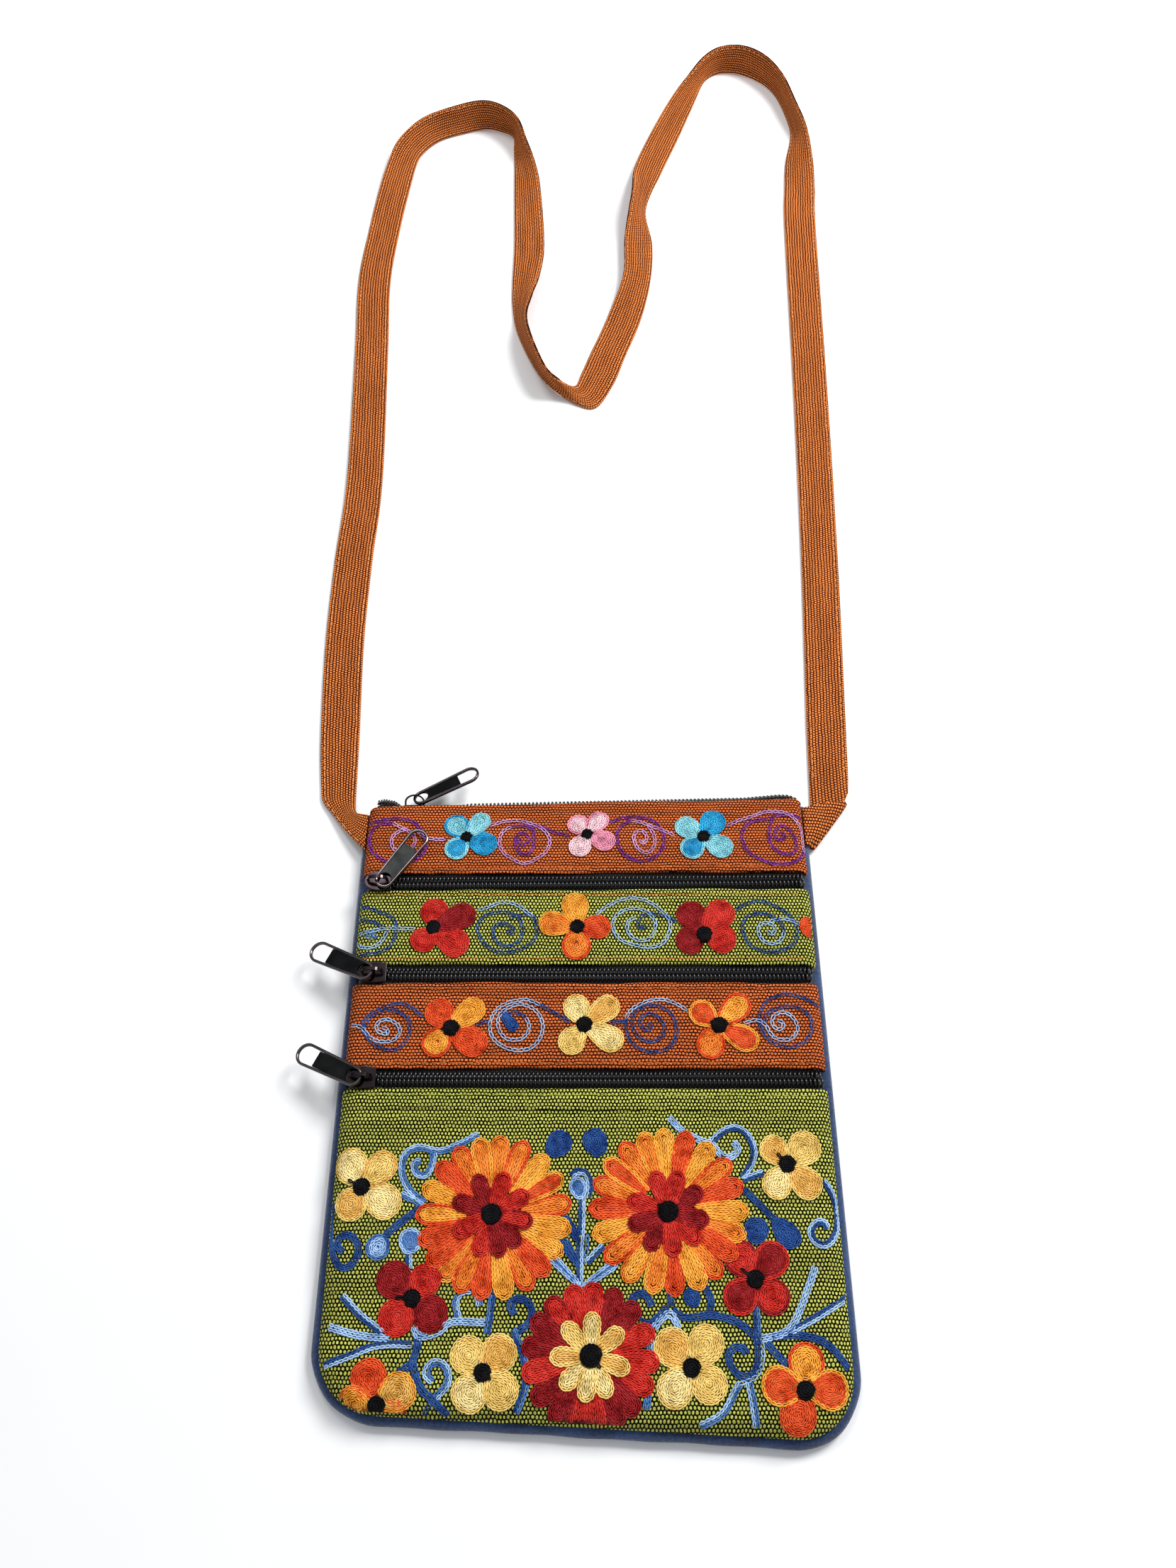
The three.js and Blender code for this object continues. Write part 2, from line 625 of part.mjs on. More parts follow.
// Pull along +X from the middle of its eye, lying in the XY plane
function pullGeometry() {
  const { eye, rim, farRadius, thick, bevel } = PULL;
  const outline = stadium(new THREE.Shape(), eye + rim, farRadius);
  outline.holes.push(stadium(new THREE.Path(), eye, farRadius - rim));
  const frame = new THREE.ExtrudeGeometry(outline, {
    depth: thick - 2 * bevel,
    bevelThickness: bevel,
    bevelSize: bevel,
    bevelOffset: -bevel,
    bevelSegments: 1,
    curveSegments: 9,
  });
  frame.translate(0, 0, bevel - thick / 2);
  const halfPlate = eye + PULL_PLATE.overlap;
  const plateShape = new THREE.Shape();
  plateShape.moveTo(PULL_PLATE.end, halfPlate);
  plateShape.lineTo(0, halfPlate);
  plateShape.lineTo(0, eye);
  plateShape.absarc(0, 0, eye, Math.PI / 2, -Math.PI / 2, true);
  plateShape.lineTo(0, -halfPlate);
  plateShape.lineTo(PULL_PLATE.end, -halfPlate);
  const plate = new THREE.ExtrudeGeometry(plateShape, {
    depth: PULL_PLATE.thick,
    bevelEnabled: false,
    curveSegments: 9,
  });
  plate.translate(0, 0, -PULL_PLATE.thick / 2);
  return fromSolid(toSolid(frame).add(toSolid(plate)));
}

// Frame of a slider: origin on top of its tapes, x along the zip, z out of the zip
function sliderFrame(zip, sliderX) {
  const frame = new THREE.Group();
  if (zip === 'zip_top') {
    frame.position.copy(mouthPoint(sliderX, 0, 0));
    frame.rotation.x = MOUTH_LEAN - Math.PI / 2;
    return frame;
  }
  frame.position.copy(frontPoint(sliderX, lineY(zip), WALL + GAP));
  return frame;
}

function addSliderAndPull(zip, sliderX) {
  const frame = sliderFrame(zip, sliderX);
  const rest = PULL_REST.find((row) => row.zip === zip);
  const radians = THREE.MathUtils.degToRad;
  addPiece(frame, `${zip}_slider`, sliderGeometry(), metal(GUNMETAL));
  const pull = addPiece(frame, `${zip}_pull`, pullGeometry(), metal(GUNMETAL));
  pull.position.set(rest.eyeX, 0, PLATE_TOP + rest.eyeZ);
  pull.rotation.set(radians(rest.roll), radians(-rest.pitch), radians(rest.yaw), 'ZYX');
  pouch.add(frame);
}

// Webbing of the strap: a thin section across each row of the route, square to its length
function addStrap() {
  const edges = STRAP_ROUTE.map(([ax, ay, az, bx, by, bz]) => {
    return { a: new THREE.Vector3(ax, ay, az), b: new THREE.Vector3(bx, by, bz) };
  });
  const middles = edges.map(({ a, b }) => a.clone().lerp(b, 0.5));
  const sections = edges.map(({ a, b }, i) => {
    const before = middles[Math.max(i - 1, 0)];
    const after = middles[Math.min(i + 1, middles.length - 1)];
    const ahead = after.clone().sub(before);
    const up = b.clone().sub(a).cross(ahead).setLength(STRAP_THICK / 2);
    return [a.clone().add(up), b.clone().add(up), b.clone().sub(up), a.clone().sub(up)];
  });
  addPiece(pouch, 'strap', loft(sections), cloth(STRAP_ORANGE));
}

addBackPanel();
PANELS.forEach(addFrontPanel);
for (const zip of ['zip_lower', 'zip_middle', 'zip_upper']) {
  addFrontTapes(zip, lineY(zip), SLIDER_PLACES[zip]);
  addFrontCoil(zip, lineY(zip), SLIDER_PLACES[zip]);
}
addMouthTapes(SLIDER_PLACES.zip_top);
addMouthCoil(SLIDER_PLACES.zip_top);
for (const [zip, sliderX] of Object.entries(SLIDER_PLACES)) addSliderAndPull(zip, sliderX);
addStrap();

export default pouch;
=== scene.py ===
"""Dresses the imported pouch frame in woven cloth, suede, zip coils, metal and chain-stitch embroidery."""
import math
from collections import namedtuple

import bpy
import numpy as np
from mathutils import Euler, Matrix, Vector


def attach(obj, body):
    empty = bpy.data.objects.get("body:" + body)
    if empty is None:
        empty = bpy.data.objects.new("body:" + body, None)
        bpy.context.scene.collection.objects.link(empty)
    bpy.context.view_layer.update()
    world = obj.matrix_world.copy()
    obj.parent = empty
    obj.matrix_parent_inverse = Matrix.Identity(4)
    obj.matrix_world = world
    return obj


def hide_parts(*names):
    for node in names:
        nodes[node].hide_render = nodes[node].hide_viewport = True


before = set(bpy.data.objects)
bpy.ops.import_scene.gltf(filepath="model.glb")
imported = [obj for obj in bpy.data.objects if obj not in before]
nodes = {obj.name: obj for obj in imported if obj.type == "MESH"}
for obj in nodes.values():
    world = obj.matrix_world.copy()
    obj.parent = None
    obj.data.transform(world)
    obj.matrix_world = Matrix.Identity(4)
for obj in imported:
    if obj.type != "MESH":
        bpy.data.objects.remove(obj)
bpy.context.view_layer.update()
SEED = 7
random = np.random.default_rng(SEED)

# Millimetres throughout, turned into metres where a mesh is made
MM = 0.001

# Form of the pouch, as in the part's own source
HALF_WIDTH = 89.5
CORNER = 20.0
WALL = 1.6
GAP = 0.3
HALF_OPENING = 3.6
SEAM_ALLOWANCE = 2.0
LINE_NAMES = ["bottom", "zip_lower", "zip_middle", "zip_upper", "mouth"]
LINE_Y = [-113.0, -0.3, 39.7, 78.0, 112.4]
LINE_RISE = [-4.4, 0.0, 0.0, 0.6, 2.0]
FORM_Y = [-113.0, -60.0, 0.0, 78.0, 112.4]
FORM_CROWN = [12.6, 13.0, 12.6, 11.8, 10.0]
FORM_ROLL = [3.0, 3.0, 3.0, 2.9, 2.2]
FORM_SHOULDER = [11.0, 9.0, 5.5, 5.0, 5.0]
LINES = dict(zip(LINE_NAMES, LINE_Y))
BOTTOM = LINES["bottom"]
MOUTH = LINES["mouth"]
LEAST_SHOULDER = 0.004

# Cloth pieces of the front: lower line, upper line, bulge, finish
Panel = namedtuple("Panel", "low high puff finish")
PANELS = {
    "front_panel": Panel("bottom", "zip_lower", 1.2, "weave_green"),
    "band_lower": Panel("zip_lower", "zip_middle", 0.7, "weave_orange"),
    "band_middle": Panel("zip_middle", "zip_upper", 0.7, "weave_green"),
    "band_upper": Panel("zip_upper", "mouth", 0.6, "weave_orange"),
}
# How far the upper band reaches past the mouth's line, in mm
MOUTH_LIP = 1.3

# Unevenness of the cloth: height of each wave, what x and v are divided by, and where it starts
CHECKED_WAVE = (0.17, 11, 9, 0.7, 1.9)
LONG_WAVE = (0.13, 23, 17)
FINE_WAVE = (0.06, 5.1, 6.3, 2.1)
RIPPLE_FADE = 8
# Hem: height of its lower edge on the pouch, then the step there: size and reach on each side, width
HEM_Y = -11.9
HEM_ABOVE = (0.5, 6)
HEM_BELOW = (-0.7, 0.9)
HEM_STEP = 0.3

# Camera of the photograph: size in pixels, focal length in pixels, place in mm, tilt in degrees
PHOTO = (1659, 2212)
FOCAL = 1661.0
EYE = (1.0, -101.7, 445.5)
TILT = 27.2
SENSOR = 36.0

# Rounds in which a place on the cloth is found, and the step over which a slope is taken
ROUNDS = 4
SLOPE_STEP = 0.05


def rise_at(v):
    return np.interp(v, LINE_Y, LINE_RISE)


def shear(x, v):
    """Height on the sloping pouch of a point at v on a straight one."""
    return v + rise_at(v) * x / HALF_WIDTH


def unshear(x, y):
    v = y
    for _ in range(ROUNDS):
        v = y - rise_at(v) * x / HALF_WIDTH
    return v


def half_width_at(v):
    into = np.clip(BOTTOM + CORNER - v, 0, CORNER)
    return HALF_WIDTH - CORNER + np.sqrt(CORNER**2 - into**2)


def edge_distance(x, v):
    over_x = np.abs(x) - (HALF_WIDTH - CORNER)
    over_y = BOTTOM + CORNER - v
    outside = np.hypot(np.maximum(over_x, 0), np.maximum(over_y, 0))
    return CORNER - outside - np.minimum(np.maximum(over_x, over_y), 0)


def panel_edges(name):
    panel = PANELS[name]
    bottom = LINES[panel.low] + (0 if panel.low == "bottom" else HALF_OPENING)
    top = LINES[panel.high] + (MOUTH_LIP if panel.high == "mouth" else -HALF_OPENING)
    return bottom, top


def puff_at(x, v):
    total = 0.0 * x * v
    for name, panel in PANELS.items():
        bottom, top = panel_edges(name)
        along = np.clip((v - bottom) / (top - bottom), 0, 1)
        total = total + panel.puff * np.sin(np.pi * along) * (1 - (x / HALF_WIDTH) ** 2)
    return total


def ripple(x, v):
    """Unevenness of filled cloth, and the step at the lower edge of the hem."""
    high, wide, long, start, lag = CHECKED_WAVE
    waves = high * np.sin(x / wide + start) * np.sin(v / long + lag)
    high, wide, long = LONG_WAVE
    waves = waves + high * np.sin(x / wide + v / long)
    high, wide, long, start = FINE_WAVE
    waves = waves + high * np.sin(x / wide - v / long + start)
    above = HEM_ABOVE[0] * np.exp(-np.maximum(v - HEM_Y, 0) / HEM_ABOVE[1])
    below = HEM_BELOW[0] * np.exp(-np.maximum(HEM_Y - v, 0) / HEM_BELOW[1])
    step = below + (above - below) * np.clip((v - HEM_Y) / HEM_STEP + 0.5, 0, 1)
    return (waves + step) * np.clip(edge_distance(x, v) / RIPPLE_FADE, 0, 1)


def shoulder_at(x, v):
    return np.clip(edge_distance(x, v) / np.interp(v, FORM_Y, FORM_SHOULDER), LEAST_SHOULDER, 1)


def seam_height(v):
    return 2 * np.interp(v, FORM_Y, FORM_ROLL) + GAP


def base_height(x, v):
    seam = seam_height(v)
    crown = np.interp(v, FORM_Y, FORM_CROWN) + puff_at(x, v)
    return seam + (crown - seam) * np.sqrt(1 - (1 - shoulder_at(x, v)) ** 2)


def cloth_height(x, v):
    return base_height(x, v) + ripple(x, v)


def front_points(x, v, depth, height=cloth_height):
    """Points of the front sunk into the pouch by depth, along the slope of its shoulder."""
    step = SLOPE_STEP
    t = shoulder_at(x, v)
    rise = np.interp(v, FORM_Y, FORM_CROWN) - seam_height(v)
    slope = rise / np.interp(v, FORM_Y, FORM_SHOULDER) * (1 - t) / np.sqrt(1 - (1 - t) ** 2)
    in_x = (edge_distance(x + step, v) - edge_distance(x - step, v)) / (2 * step)
    in_y = (edge_distance(x, v + step) - edge_distance(x, v - step)) / (2 * step)
    size = np.sqrt(1 + (slope * in_x) ** 2 + (slope * in_y) ** 2)
    px = x + depth * slope * in_x / size
    pv = v + depth * slope * in_y / size
    return np.stack([px, shear(px, pv), height(x, v) - depth / size], axis=-1)


# Mesh helpers


def add_piece(name, points, faces, finish, looks=None, body="pouch", face_looks=None):
    """A piece that rides on a body, in the look of its finish unless other looks are given."""
    mesh = bpy.data.meshes.new(name)
    mesh.from_pydata((np.asarray(points, float).reshape(-1, 3) * MM).tolist(), [], faces)
    for look in looks or [materials[finish]]:
        mesh.materials.append(look)
    if face_looks is not None:
        mesh.polygons.foreach_set("material_index", np.asarray(face_looks, np.int32))
    mesh.polygons.foreach_set("use_smooth", [True] * len(mesh.polygons))
    mesh.update()
    obj = bpy.data.objects.new(name, mesh)
    bpy.context.scene.collection.objects.link(obj)
    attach(obj, body)
    return obj


def moved(faces, start):
    """Faces with their points counted from another start."""
    return [tuple(start + i for i in face) for face in faces]


def grid_faces(rows, columns, closed=False):
    faces = []
    wide = columns if closed else columns - 1
    for r in range(rows - 1):
        for c in range(wide):
            d = (c + 1) % columns
            faces.append((r * columns + c, r * columns + d, (r + 1) * columns + d, (r + 1) * columns + c))
    return faces


def tube_faces(rows, columns):
    """Side and end faces of a tube made of closed rings."""
    last = (rows - 1) * columns
    ends = [tuple(range(columns))[::-1], tuple(range(last, last + columns))]
    return grid_faces(rows, columns, closed=True) + ends


def thick_sheet(outer, inner, faces):
    """Points and faces of two like surfaces, joined round their free border."""
    count = len(outer)
    border = {}
    for face in faces:
        for a, b in zip(face, face[1:] + face[:1]):
            if border.pop((b, a), None) is None:
                border[(a, b)] = (b, a, a + count, b + count)
    back = [tuple(i + count for i in reversed(face)) for face in faces]
    return np.concatenate([outer, inner]), list(faces) + back + list(border.values())


def spread(low, high, step):
    """Even steps from low to high, near the step asked for."""
    return np.linspace(low, high, max(2, int(round((high - low) / step)) + 1))


def smooth_line(points, parts):
    """Catmull-Rom line through points, with as many parts between each two."""
    p = np.asarray(points, float)
    if len(p) < 3:
        t = np.linspace(0, 1, parts + 1)[:, None]
        return p[0] + (p[-1] - p[0]) * t
    padded = np.concatenate([[2 * p[0] - p[1]], p, [2 * p[-1] - p[-2]]])
    line = []
    for i in range(len(p) - 1):
        a, b, c, d = padded[i : i + 4]
        for t in np.arange(parts) / parts:
            line.append(0.5 * (2 * b + (c - a) * t + (2 * a - 5 * b + 4 * c - d) * t**2
                               + (3 * b - a - 3 * c + d) * t**3))
    return np.array(line + [p[-1]])


def unit(vectors):
    return vectors / np.linalg.norm(vectors, axis=1)[:, None]


def left_of(ahead):
    """Unit vectors a quarter turn to the left of flat ones."""
    return unit(np.stack([-ahead[:, 1], ahead[:, 0]], 1))


def run_length(line):
    """Length along a line at each of its points."""
    steps = np.linalg.norm(np.diff(line, axis=0), axis=1)
    return np.concatenate([[0], np.cumsum(steps)])


# Materials


def linear(code):
    """Blender's linear colour for a code such as C8641B."""
    srgb = [int(code[i : i + 2], 16) / 255 for i in (0, 2, 4)]
    return [c / 12.92 if c <= 0.04045 else ((c + 0.055) / 1.055) ** 2.4 for c in srgb] + [1.0]


def grey(level):
    return (level, level, level, 1)


class Shader:
    """A material with short ways to add and join its nodes."""

    def __init__(self, name, roughness, metallic=0.0, sheen=0.0):
        self.material = bpy.data.materials.new(name)
        self.material.use_nodes = True
        self.tree = self.material.node_tree
        self.surface = self.tree.nodes["Principled BSDF"]
        self.surface.inputs["Roughness"].default_value = roughness
        self.surface.inputs["Metallic"].default_value = metallic
        self.surface.inputs["Sheen Weight"].default_value = sheen

    def add(self, kind, **settings):
        node = self.tree.nodes.new("ShaderNode" + kind)
        for key, value in settings.items():
            if key in node.inputs:
                node.inputs[key].default_value = value
            else:
                setattr(node, key, value)
        return node

    def join(self, source, target):
        """Feeds a socket from another one or with a plain value."""
        if isinstance(source, bpy.types.NodeSocket):
            self.tree.links.new(source, target)
        else:
            target.default_value = source

    def shine(self, level):
        self.join(level, self.surface.inputs["Specular IOR Level"])

    def place(self, kind="Object"):
        return self.add("TexCoord").outputs[kind]

    def noise(self, scale, detail=2.0, where=None, stretch=None):
        node = self.add("TexNoise", Scale=scale, Detail=detail)
        source = where or self.place()
        if stretch:
            mapping = self.add("Mapping", Scale=stretch)
            self.join(source, mapping.inputs["Vector"])
            source = mapping.outputs["Vector"]
        self.join(source, node.inputs["Vector"])
        return node.outputs["Fac"]

    def ramp(self, value, stops):
        node = self.add("ValToRGB")
        while len(node.color_ramp.elements) < len(stops):
            node.color_ramp.elements.new(0.5)
        for element, (at, colour) in zip(node.color_ramp.elements, stops):
            element.position = at
            element.color = colour
        self.join(value, node.inputs["Fac"])
        return node.outputs["Color"]

    def mix(self, factor, first, second, blend="MIX"):
        node = self.add("Mix", data_type="RGBA", blend_type=blend)
        for value, socket in ((factor, 0), (first, 6), (second, 7)):
            self.join(value, node.inputs[socket])
        return node.outputs[2]

    def math(self, operation, first, second=0.0):
        node = self.add("Math", operation=operation)
        for i, value in enumerate((first, second)):
            self.join(value, node.inputs[i])
        return node.outputs["Value"]

    def colour(self, source):
        self.join(source, self.surface.inputs["Base Color"])

    def bump(self, height, distance, strength=1.0):
        node = self.add("Bump", Strength=strength, Distance=distance * MM)
        self.join(height, node.inputs["Height"])
        self.join(node.outputs["Normal"], self.surface.inputs["Normal"])


# Weave: how far its threads wander in mm and how finely, roundness of a float, least size and spread of
# sizes, where a float's height starts to fall and is gone, where its colours lie (ground, then a painted
# shade at a float's edge and a painted highlight at its middle), darkest float, streaks along the thread
WANDER = 0.9
WANDER_SCALE = 240.0
FLOAT_ROUND = 2.4
FLOAT_LEAST = 0.75
FLOAT_SPREAD = 0.6
FLOAT_FALL = (0.15, 1.3)
FLOAT_SHADING_STOPS = (0.22, 0.58, 0.95)
FLOAT_DARKEST = 0.68
STREAK_STRETCH = (30.0, 460.0, 30.0)
STREAK_STOPS = [(0.32, grey(0.7)), (0.62, grey(1))]
CLOTH_SHINE = 0.08


def weave_material(name, codes, cell, share, coordinates="Object"):
    """Plain weave of round floats in staggered rows over a dark ground, each float painted darker at its edge
    and lighter at its middle as shading.

    cell is the width and height of a float with its ground in mm, share what the float takes of each.
    """
    shader = Shader(name, roughness=0.9)
    shader.shine(CLOTH_SHINE)
    source = shader.place(coordinates)
    grain = shader.add("TexNoise", Scale=WANDER_SCALE, Detail=1.0)
    shader.join(source, grain.inputs["Vector"])
    wander = shader.add("VectorMath", operation="SCALE", Scale=WANDER * MM)
    shader.join(grain.outputs["Color"], wander.inputs[0])
    shifted = shader.add("VectorMath", operation="ADD")
    shader.join(source, shifted.inputs[0])
    shader.join(wander.outputs["Vector"], shifted.inputs[1])
    axes = shader.add("SeparateXYZ")
    shader.join(shifted.outputs["Vector"], axes.inputs[0])
    row = shader.math("DIVIDE", axes.outputs["Y"], cell[1] * MM)
    line = shader.math("FLOOR", row)
    stagger = shader.math("MULTIPLY", shader.math("FLOORED_MODULO", line, 2.0), 0.5)
    column = shader.math("ADD", shader.math("DIVIDE", axes.outputs["X"], cell[0] * MM), stagger)
    powers = []
    for value, part in ((column, share[0]), (row, share[1])):
        away = shader.math("SUBTRACT", shader.math("FRACT", value), 0.5)
        away = shader.math("MULTIPLY", shader.math("ABSOLUTE", away), 2 / part)
        powers.append(shader.math("POWER", away, FLOAT_ROUND))
    reach = shader.math("ADD", *powers)
    each = shader.add("CombineXYZ")
    shader.join(shader.math("FLOOR", column), each.inputs["X"])
    shader.join(line, each.inputs["Y"])
    chance = shader.add("TexWhiteNoise", noise_dimensions="2D")
    shader.join(each.outputs["Vector"], chance.inputs["Vector"])
    size = shader.math("ADD", shader.math("MULTIPLY", chance.outputs["Value"], FLOAT_SPREAD), FLOAT_LEAST)
    swell = shader.add("MapRange", interpolation_type="SMOOTHSTEP")
    for socket, limit in zip(("From Min", "From Max", "To Min", "To Max"), (*FLOAT_FALL, 1.0, 0.0)):
        swell.inputs[socket].default_value = limit
    shader.join(shader.math("MULTIPLY", reach, size), swell.inputs["Value"])
    floats = swell.outputs["Result"]
    # Painted shading: each float darker at its edge and lighter at its middle, as light falls on its round
    # top
    tone = shader.ramp(floats, list(zip(FLOAT_SHADING_STOPS, [linear(code) for code in codes])))
    uneven = shader.ramp(chance.outputs["Value"], [(0.0, grey(FLOAT_DARKEST)), (1.0, grey(1))])
    drift = shader.ramp(shader.noise(1.0, 3.0, source, STREAK_STRETCH), STREAK_STOPS)
    shader.colour(shader.mix(1.0, shader.mix(1.0, tone, uneven, "MULTIPLY"), drift, "MULTIPLY"))
    shader.bump(floats, distance=0.3, strength=0.9)
    return shader.material


def suede_material():
    shader = Shader("suede_navy", roughness=0.95, sheen=0.3)
    nap = shader.noise(scale=900.0, detail=4.0)
    cloud = shader.noise(scale=60.0, detail=3.0)
    tones = [(0.36, linear("122444")), (0.66, linear("2C4672"))]
    shader.colour(shader.ramp(shader.mix(0.5, nap, cloud), tones))
    shader.bump(nap, distance=0.35)
    return shader.material


def tape_material():
    shader = Shader("tape_black", roughness=0.85, sheen=0.1)
    ridges = shader.add("TexWave", Scale=330.0, Distortion=0.6, bands_direction="Y")
    shader.join(shader.place(), ridges.inputs["Vector"])
    shader.colour(shader.ramp(ridges.outputs["Fac"], [(0.2, linear("0C0C0E")), (0.9, linear("1E1E21"))]))
    shader.bump(ridges.outputs["Fac"], distance=0.2)
    return shader.material


def coil_material():
    shader = Shader("coil_black", roughness=0.2)
    scuff = shader.noise(scale=700.0, detail=3.0)
    shader.colour(shader.ramp(scuff, [(0.3, linear("070708")), (0.75, linear("111113"))]))
    shader.shine(0.55)
    shader.bump(scuff, distance=0.03, strength=0.5)
    return shader.material


def metal_material(name, base, worn, roughness, grain):
    shader = Shader(name, roughness=roughness, metallic=1.0)
    smear = shader.noise(scale=140.0, detail=4.0)
    shader.colour(shader.ramp(smear, [(0.35, linear(base)), (0.75, linear(worn))]))
    shader.bump(shader.noise(grain), distance=0.02, strength=0.6)
    return shader.material


# Thread: shine, level of the bed under the stitches, which is painted shade between them, then each tone:
# place, level and contrast
THREAD_SHINE = 0.12
BED_SHADE_LEVEL = 0.36
THREAD_TONES = [(0.37, 0.72, 1.25), (0.51, 1.0, 1.0), (0.64, 1.08, 0.88)]


def thread_material(name, bed=False):
    """Thread of a colour, darker as painted shade where it is the bed under the stitches."""
    title = ("bed_" if bed else "thread_") + name
    if title in bpy.data.materials:
        return bpy.data.materials[title]
    shader = Shader(title, roughness=0.7)
    shader.shine(THREAD_SHINE)
    tone = shader.mix(0.5, shader.noise(scale=420.0, detail=3.0), shader.noise(scale=150.0))
    # Painted shade: the bed under the stitches takes a darker copy of its thread
    brightness = BED_SHADE_LEVEL if bed else 1.0
    base = linear(THREADS[name])[:3]
    stops = []
    for at, level, contrast in THREAD_TONES:
        stops.append((at, [min(1.0, level * brightness * c**contrast) for c in base] + [1.0]))
    shader.colour(shader.ramp(tone, stops))
    shader.bump(shader.noise(scale=2600.0), distance=0.12, strength=0.8)
    return shader.material


THREADS = {
    "cream": "F5D27A", "pale_cream": "FAE3A0", "ochre": "ECB85E", "yellow": "F8AE42", "orange": "F28B34",
    "red_orange": "E6572A", "red": "D2342A", "dark_red": "9C2024", "navy": "2B5092", "blue": "5480BE",
    "pale_blue": "A8C8EE", "purple": "7B36A2", "lavender": "D6A9E2", "sky": "2FA4D4", "cyan": "96D8E2",
    "pink": "F2A2BA", "pale_pink": "F9D5DA", "black": "0E0E11", "olive": "9AA640", "rust": "C06A30",
    "apricot": "E8A264",
}
# Weaves: ground, edge and middle of a float (darker edge and lighter middle are painted shading of its round
# top), size of its cell in mm, share of it, coordinates
WEAVES = {
    "weave_orange": (("260A04", "B44A18", "E87A40"), (1.36, 1.2), (0.96, 0.92), "Object"),
    "weave_green": (("060702", "8F9434", "D8DA68"), (1.32, 1.28), (0.78, 0.95), "Object"),
    "webbing_orange": (("38100A", "D2641F", "F6924C"), (1.2, 1.36), (0.9, 0.9), "UV"),
}
# Metals: colour, worn colour, roughness, scale of the grain
METALS = {
    "gunmetal": ("5A5252", "7A7273", 0.12, 500.0),
    "gunmetal_dark": ("2C2426", "443A3C", 0.14, 500.0),
    "gunmetal_plate": ("1A1C1C", "2E2D2D", 0.34, 1800.0),
}
materials = {"suede_navy": suede_material(), "tape_black": tape_material(), "coil_black": coil_material()}
for name, weave in WEAVES.items():
    materials[name] = weave_material(name, *weave)
for name, metal in METALS.items():
    materials[name] = metal_material(name, *metal)

# Cloth of the pouch: shares of the half width over a shoulder and between the two, rows up from the
# bottom seam and over the hem, turned edges as inset and depth, distances between rows
SIDE_SHARES = [1.0, 0.9985, 0.995, 0.99, 0.982, 0.972, 0.96, 0.945, 0.925]
MIDDLE_SHARE = 0.905
MIDDLE_COUNT = 101
BOTTOM_ROWS = [0, 0.15, 0.5, 1.1, 1.9, 2.9, 4.1, 5.5, 7.0]
BOTTOM_INSET = 8.6
HEM_ROWS = [-2.2, -1.5, -0.9, -0.5, -0.15, 0.15, 0.6, 1.3, 2.1]
HEM_APART = 0.7
ROUNDED_EDGE = [(0.0, 0.95), (0.12, 0.45), (0.4, 0.14), (0.9, 0.0)]
EDGE_INSET = 2.2
ROW_STEP = 1.6
# Sway of the edges beside the zips: size and reach, then what x is divided by, share and turns of two waves
SWAY = 0.22
SWAY_REACH = 3
SWAY_WAVES = [(13, 1.0, 1), (4.9, 0.6, 2)]
# Rolled edge of the back: steps round the corners, along the bottom and round the roll, flat from here
# inwards
CORNER_STEPS = 17
SEAM_STEP = 3.0
ROLL_STEPS = 13
BACK_FLAT = 6.0
# Lumps of the roll where it stands out past the seam: size, turn from one section to the next, start
LUMPS = [(0.12, 0.83, 0.0), (0.1, 0.31, 1.0)]
LUMPS_FROM = 0.5


def cross_stations():
    """Shares of the half width from seam to seam, close together over the shoulders."""
    side = np.array(SIDE_SHARES)
    return np.concatenate([-side, np.linspace(-MIDDLE_SHARE, MIDDLE_SHARE, MIDDLE_COUNT), side[::-1]])


def panel_rows(name):
    """Heights along a panel with the depth of its turned edges."""
    low, high = panel_edges(name)
    top = [(high - inset, depth) for inset, depth in ROUNDED_EDGE[::-1]]
    if PANELS[name].low != "bottom":
        base = [(low + inset, depth) for inset, depth in ROUNDED_EDGE]
        middle = spread(low + EDGE_INSET, high - EDGE_INSET, ROW_STEP)
    else:
        base = [(low + step, 0.0) for step in BOTTOM_ROWS]
        middle = spread(low + BOTTOM_INSET, high - EDGE_INSET, ROW_STEP)
        crease = HEM_Y + np.array(HEM_ROWS)
        apart = np.abs(middle[:, None] - crease[None, :]).min(1) > HEM_APART
        middle = np.sort(np.concatenate([middle[apart], crease]))
    return base + [(v, 0.0) for v in middle] + top


def add_panel(name):
    rows = panel_rows(name)
    shares = cross_stations()
    v, depth = (np.array(column)[:, None] for column in zip(*rows))
    x = half_width_at(v) * shares[None, :]
    low, high = panel_edges(name)
    near_edge = np.exp(-np.abs(v - high) / SWAY_REACH) + np.exp(-np.abs(v - low) / SWAY_REACH)
    size = 0.0 if PANELS[name].low == "bottom" else SWAY
    waves = sum(part * np.sin(x / wide + turns * v) for wide, part, turns in SWAY_WAVES)
    wavy = v + 0 * x + size * near_edge * waves
    outer = front_points(x, wavy, depth + 0 * x).reshape(-1, 3)
    inner = front_points(x, wavy, WALL + 0 * x).reshape(-1, 3)
    points, faces = thick_sheet(outer, inner, grid_faces(len(rows), len(shares)))
    obj = add_piece(name + "_cloth", points, faces, PANELS[name].finish)
    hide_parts(name)


def seam_outline():
    """Points of the seam with outward directions, from the mouth's left end round to its right end."""
    right = [(HALF_WIDTH, v, 1.0, 0.0) for v in (MOUTH, BOTTOM + CORNER)]
    flat = HALF_WIDTH - CORNER
    for angle in np.linspace(0, -math.pi / 2, CORNER_STEPS)[1:]:
        out = (math.cos(angle), math.sin(angle))
        right.append((flat + CORNER * out[0], BOTTOM + CORNER * (1 + out[1]), *out))
    right += [(x, BOTTOM, 0.0, -1.0) for x in spread(0, flat, SEAM_STEP)[::-1][1:-1]]
    left = [(-x, v, -ox, ov) for x, v, ox, ov in right]
    return left + [(0.0, BOTTOM, 0.0, -1.0)] + right[::-1]


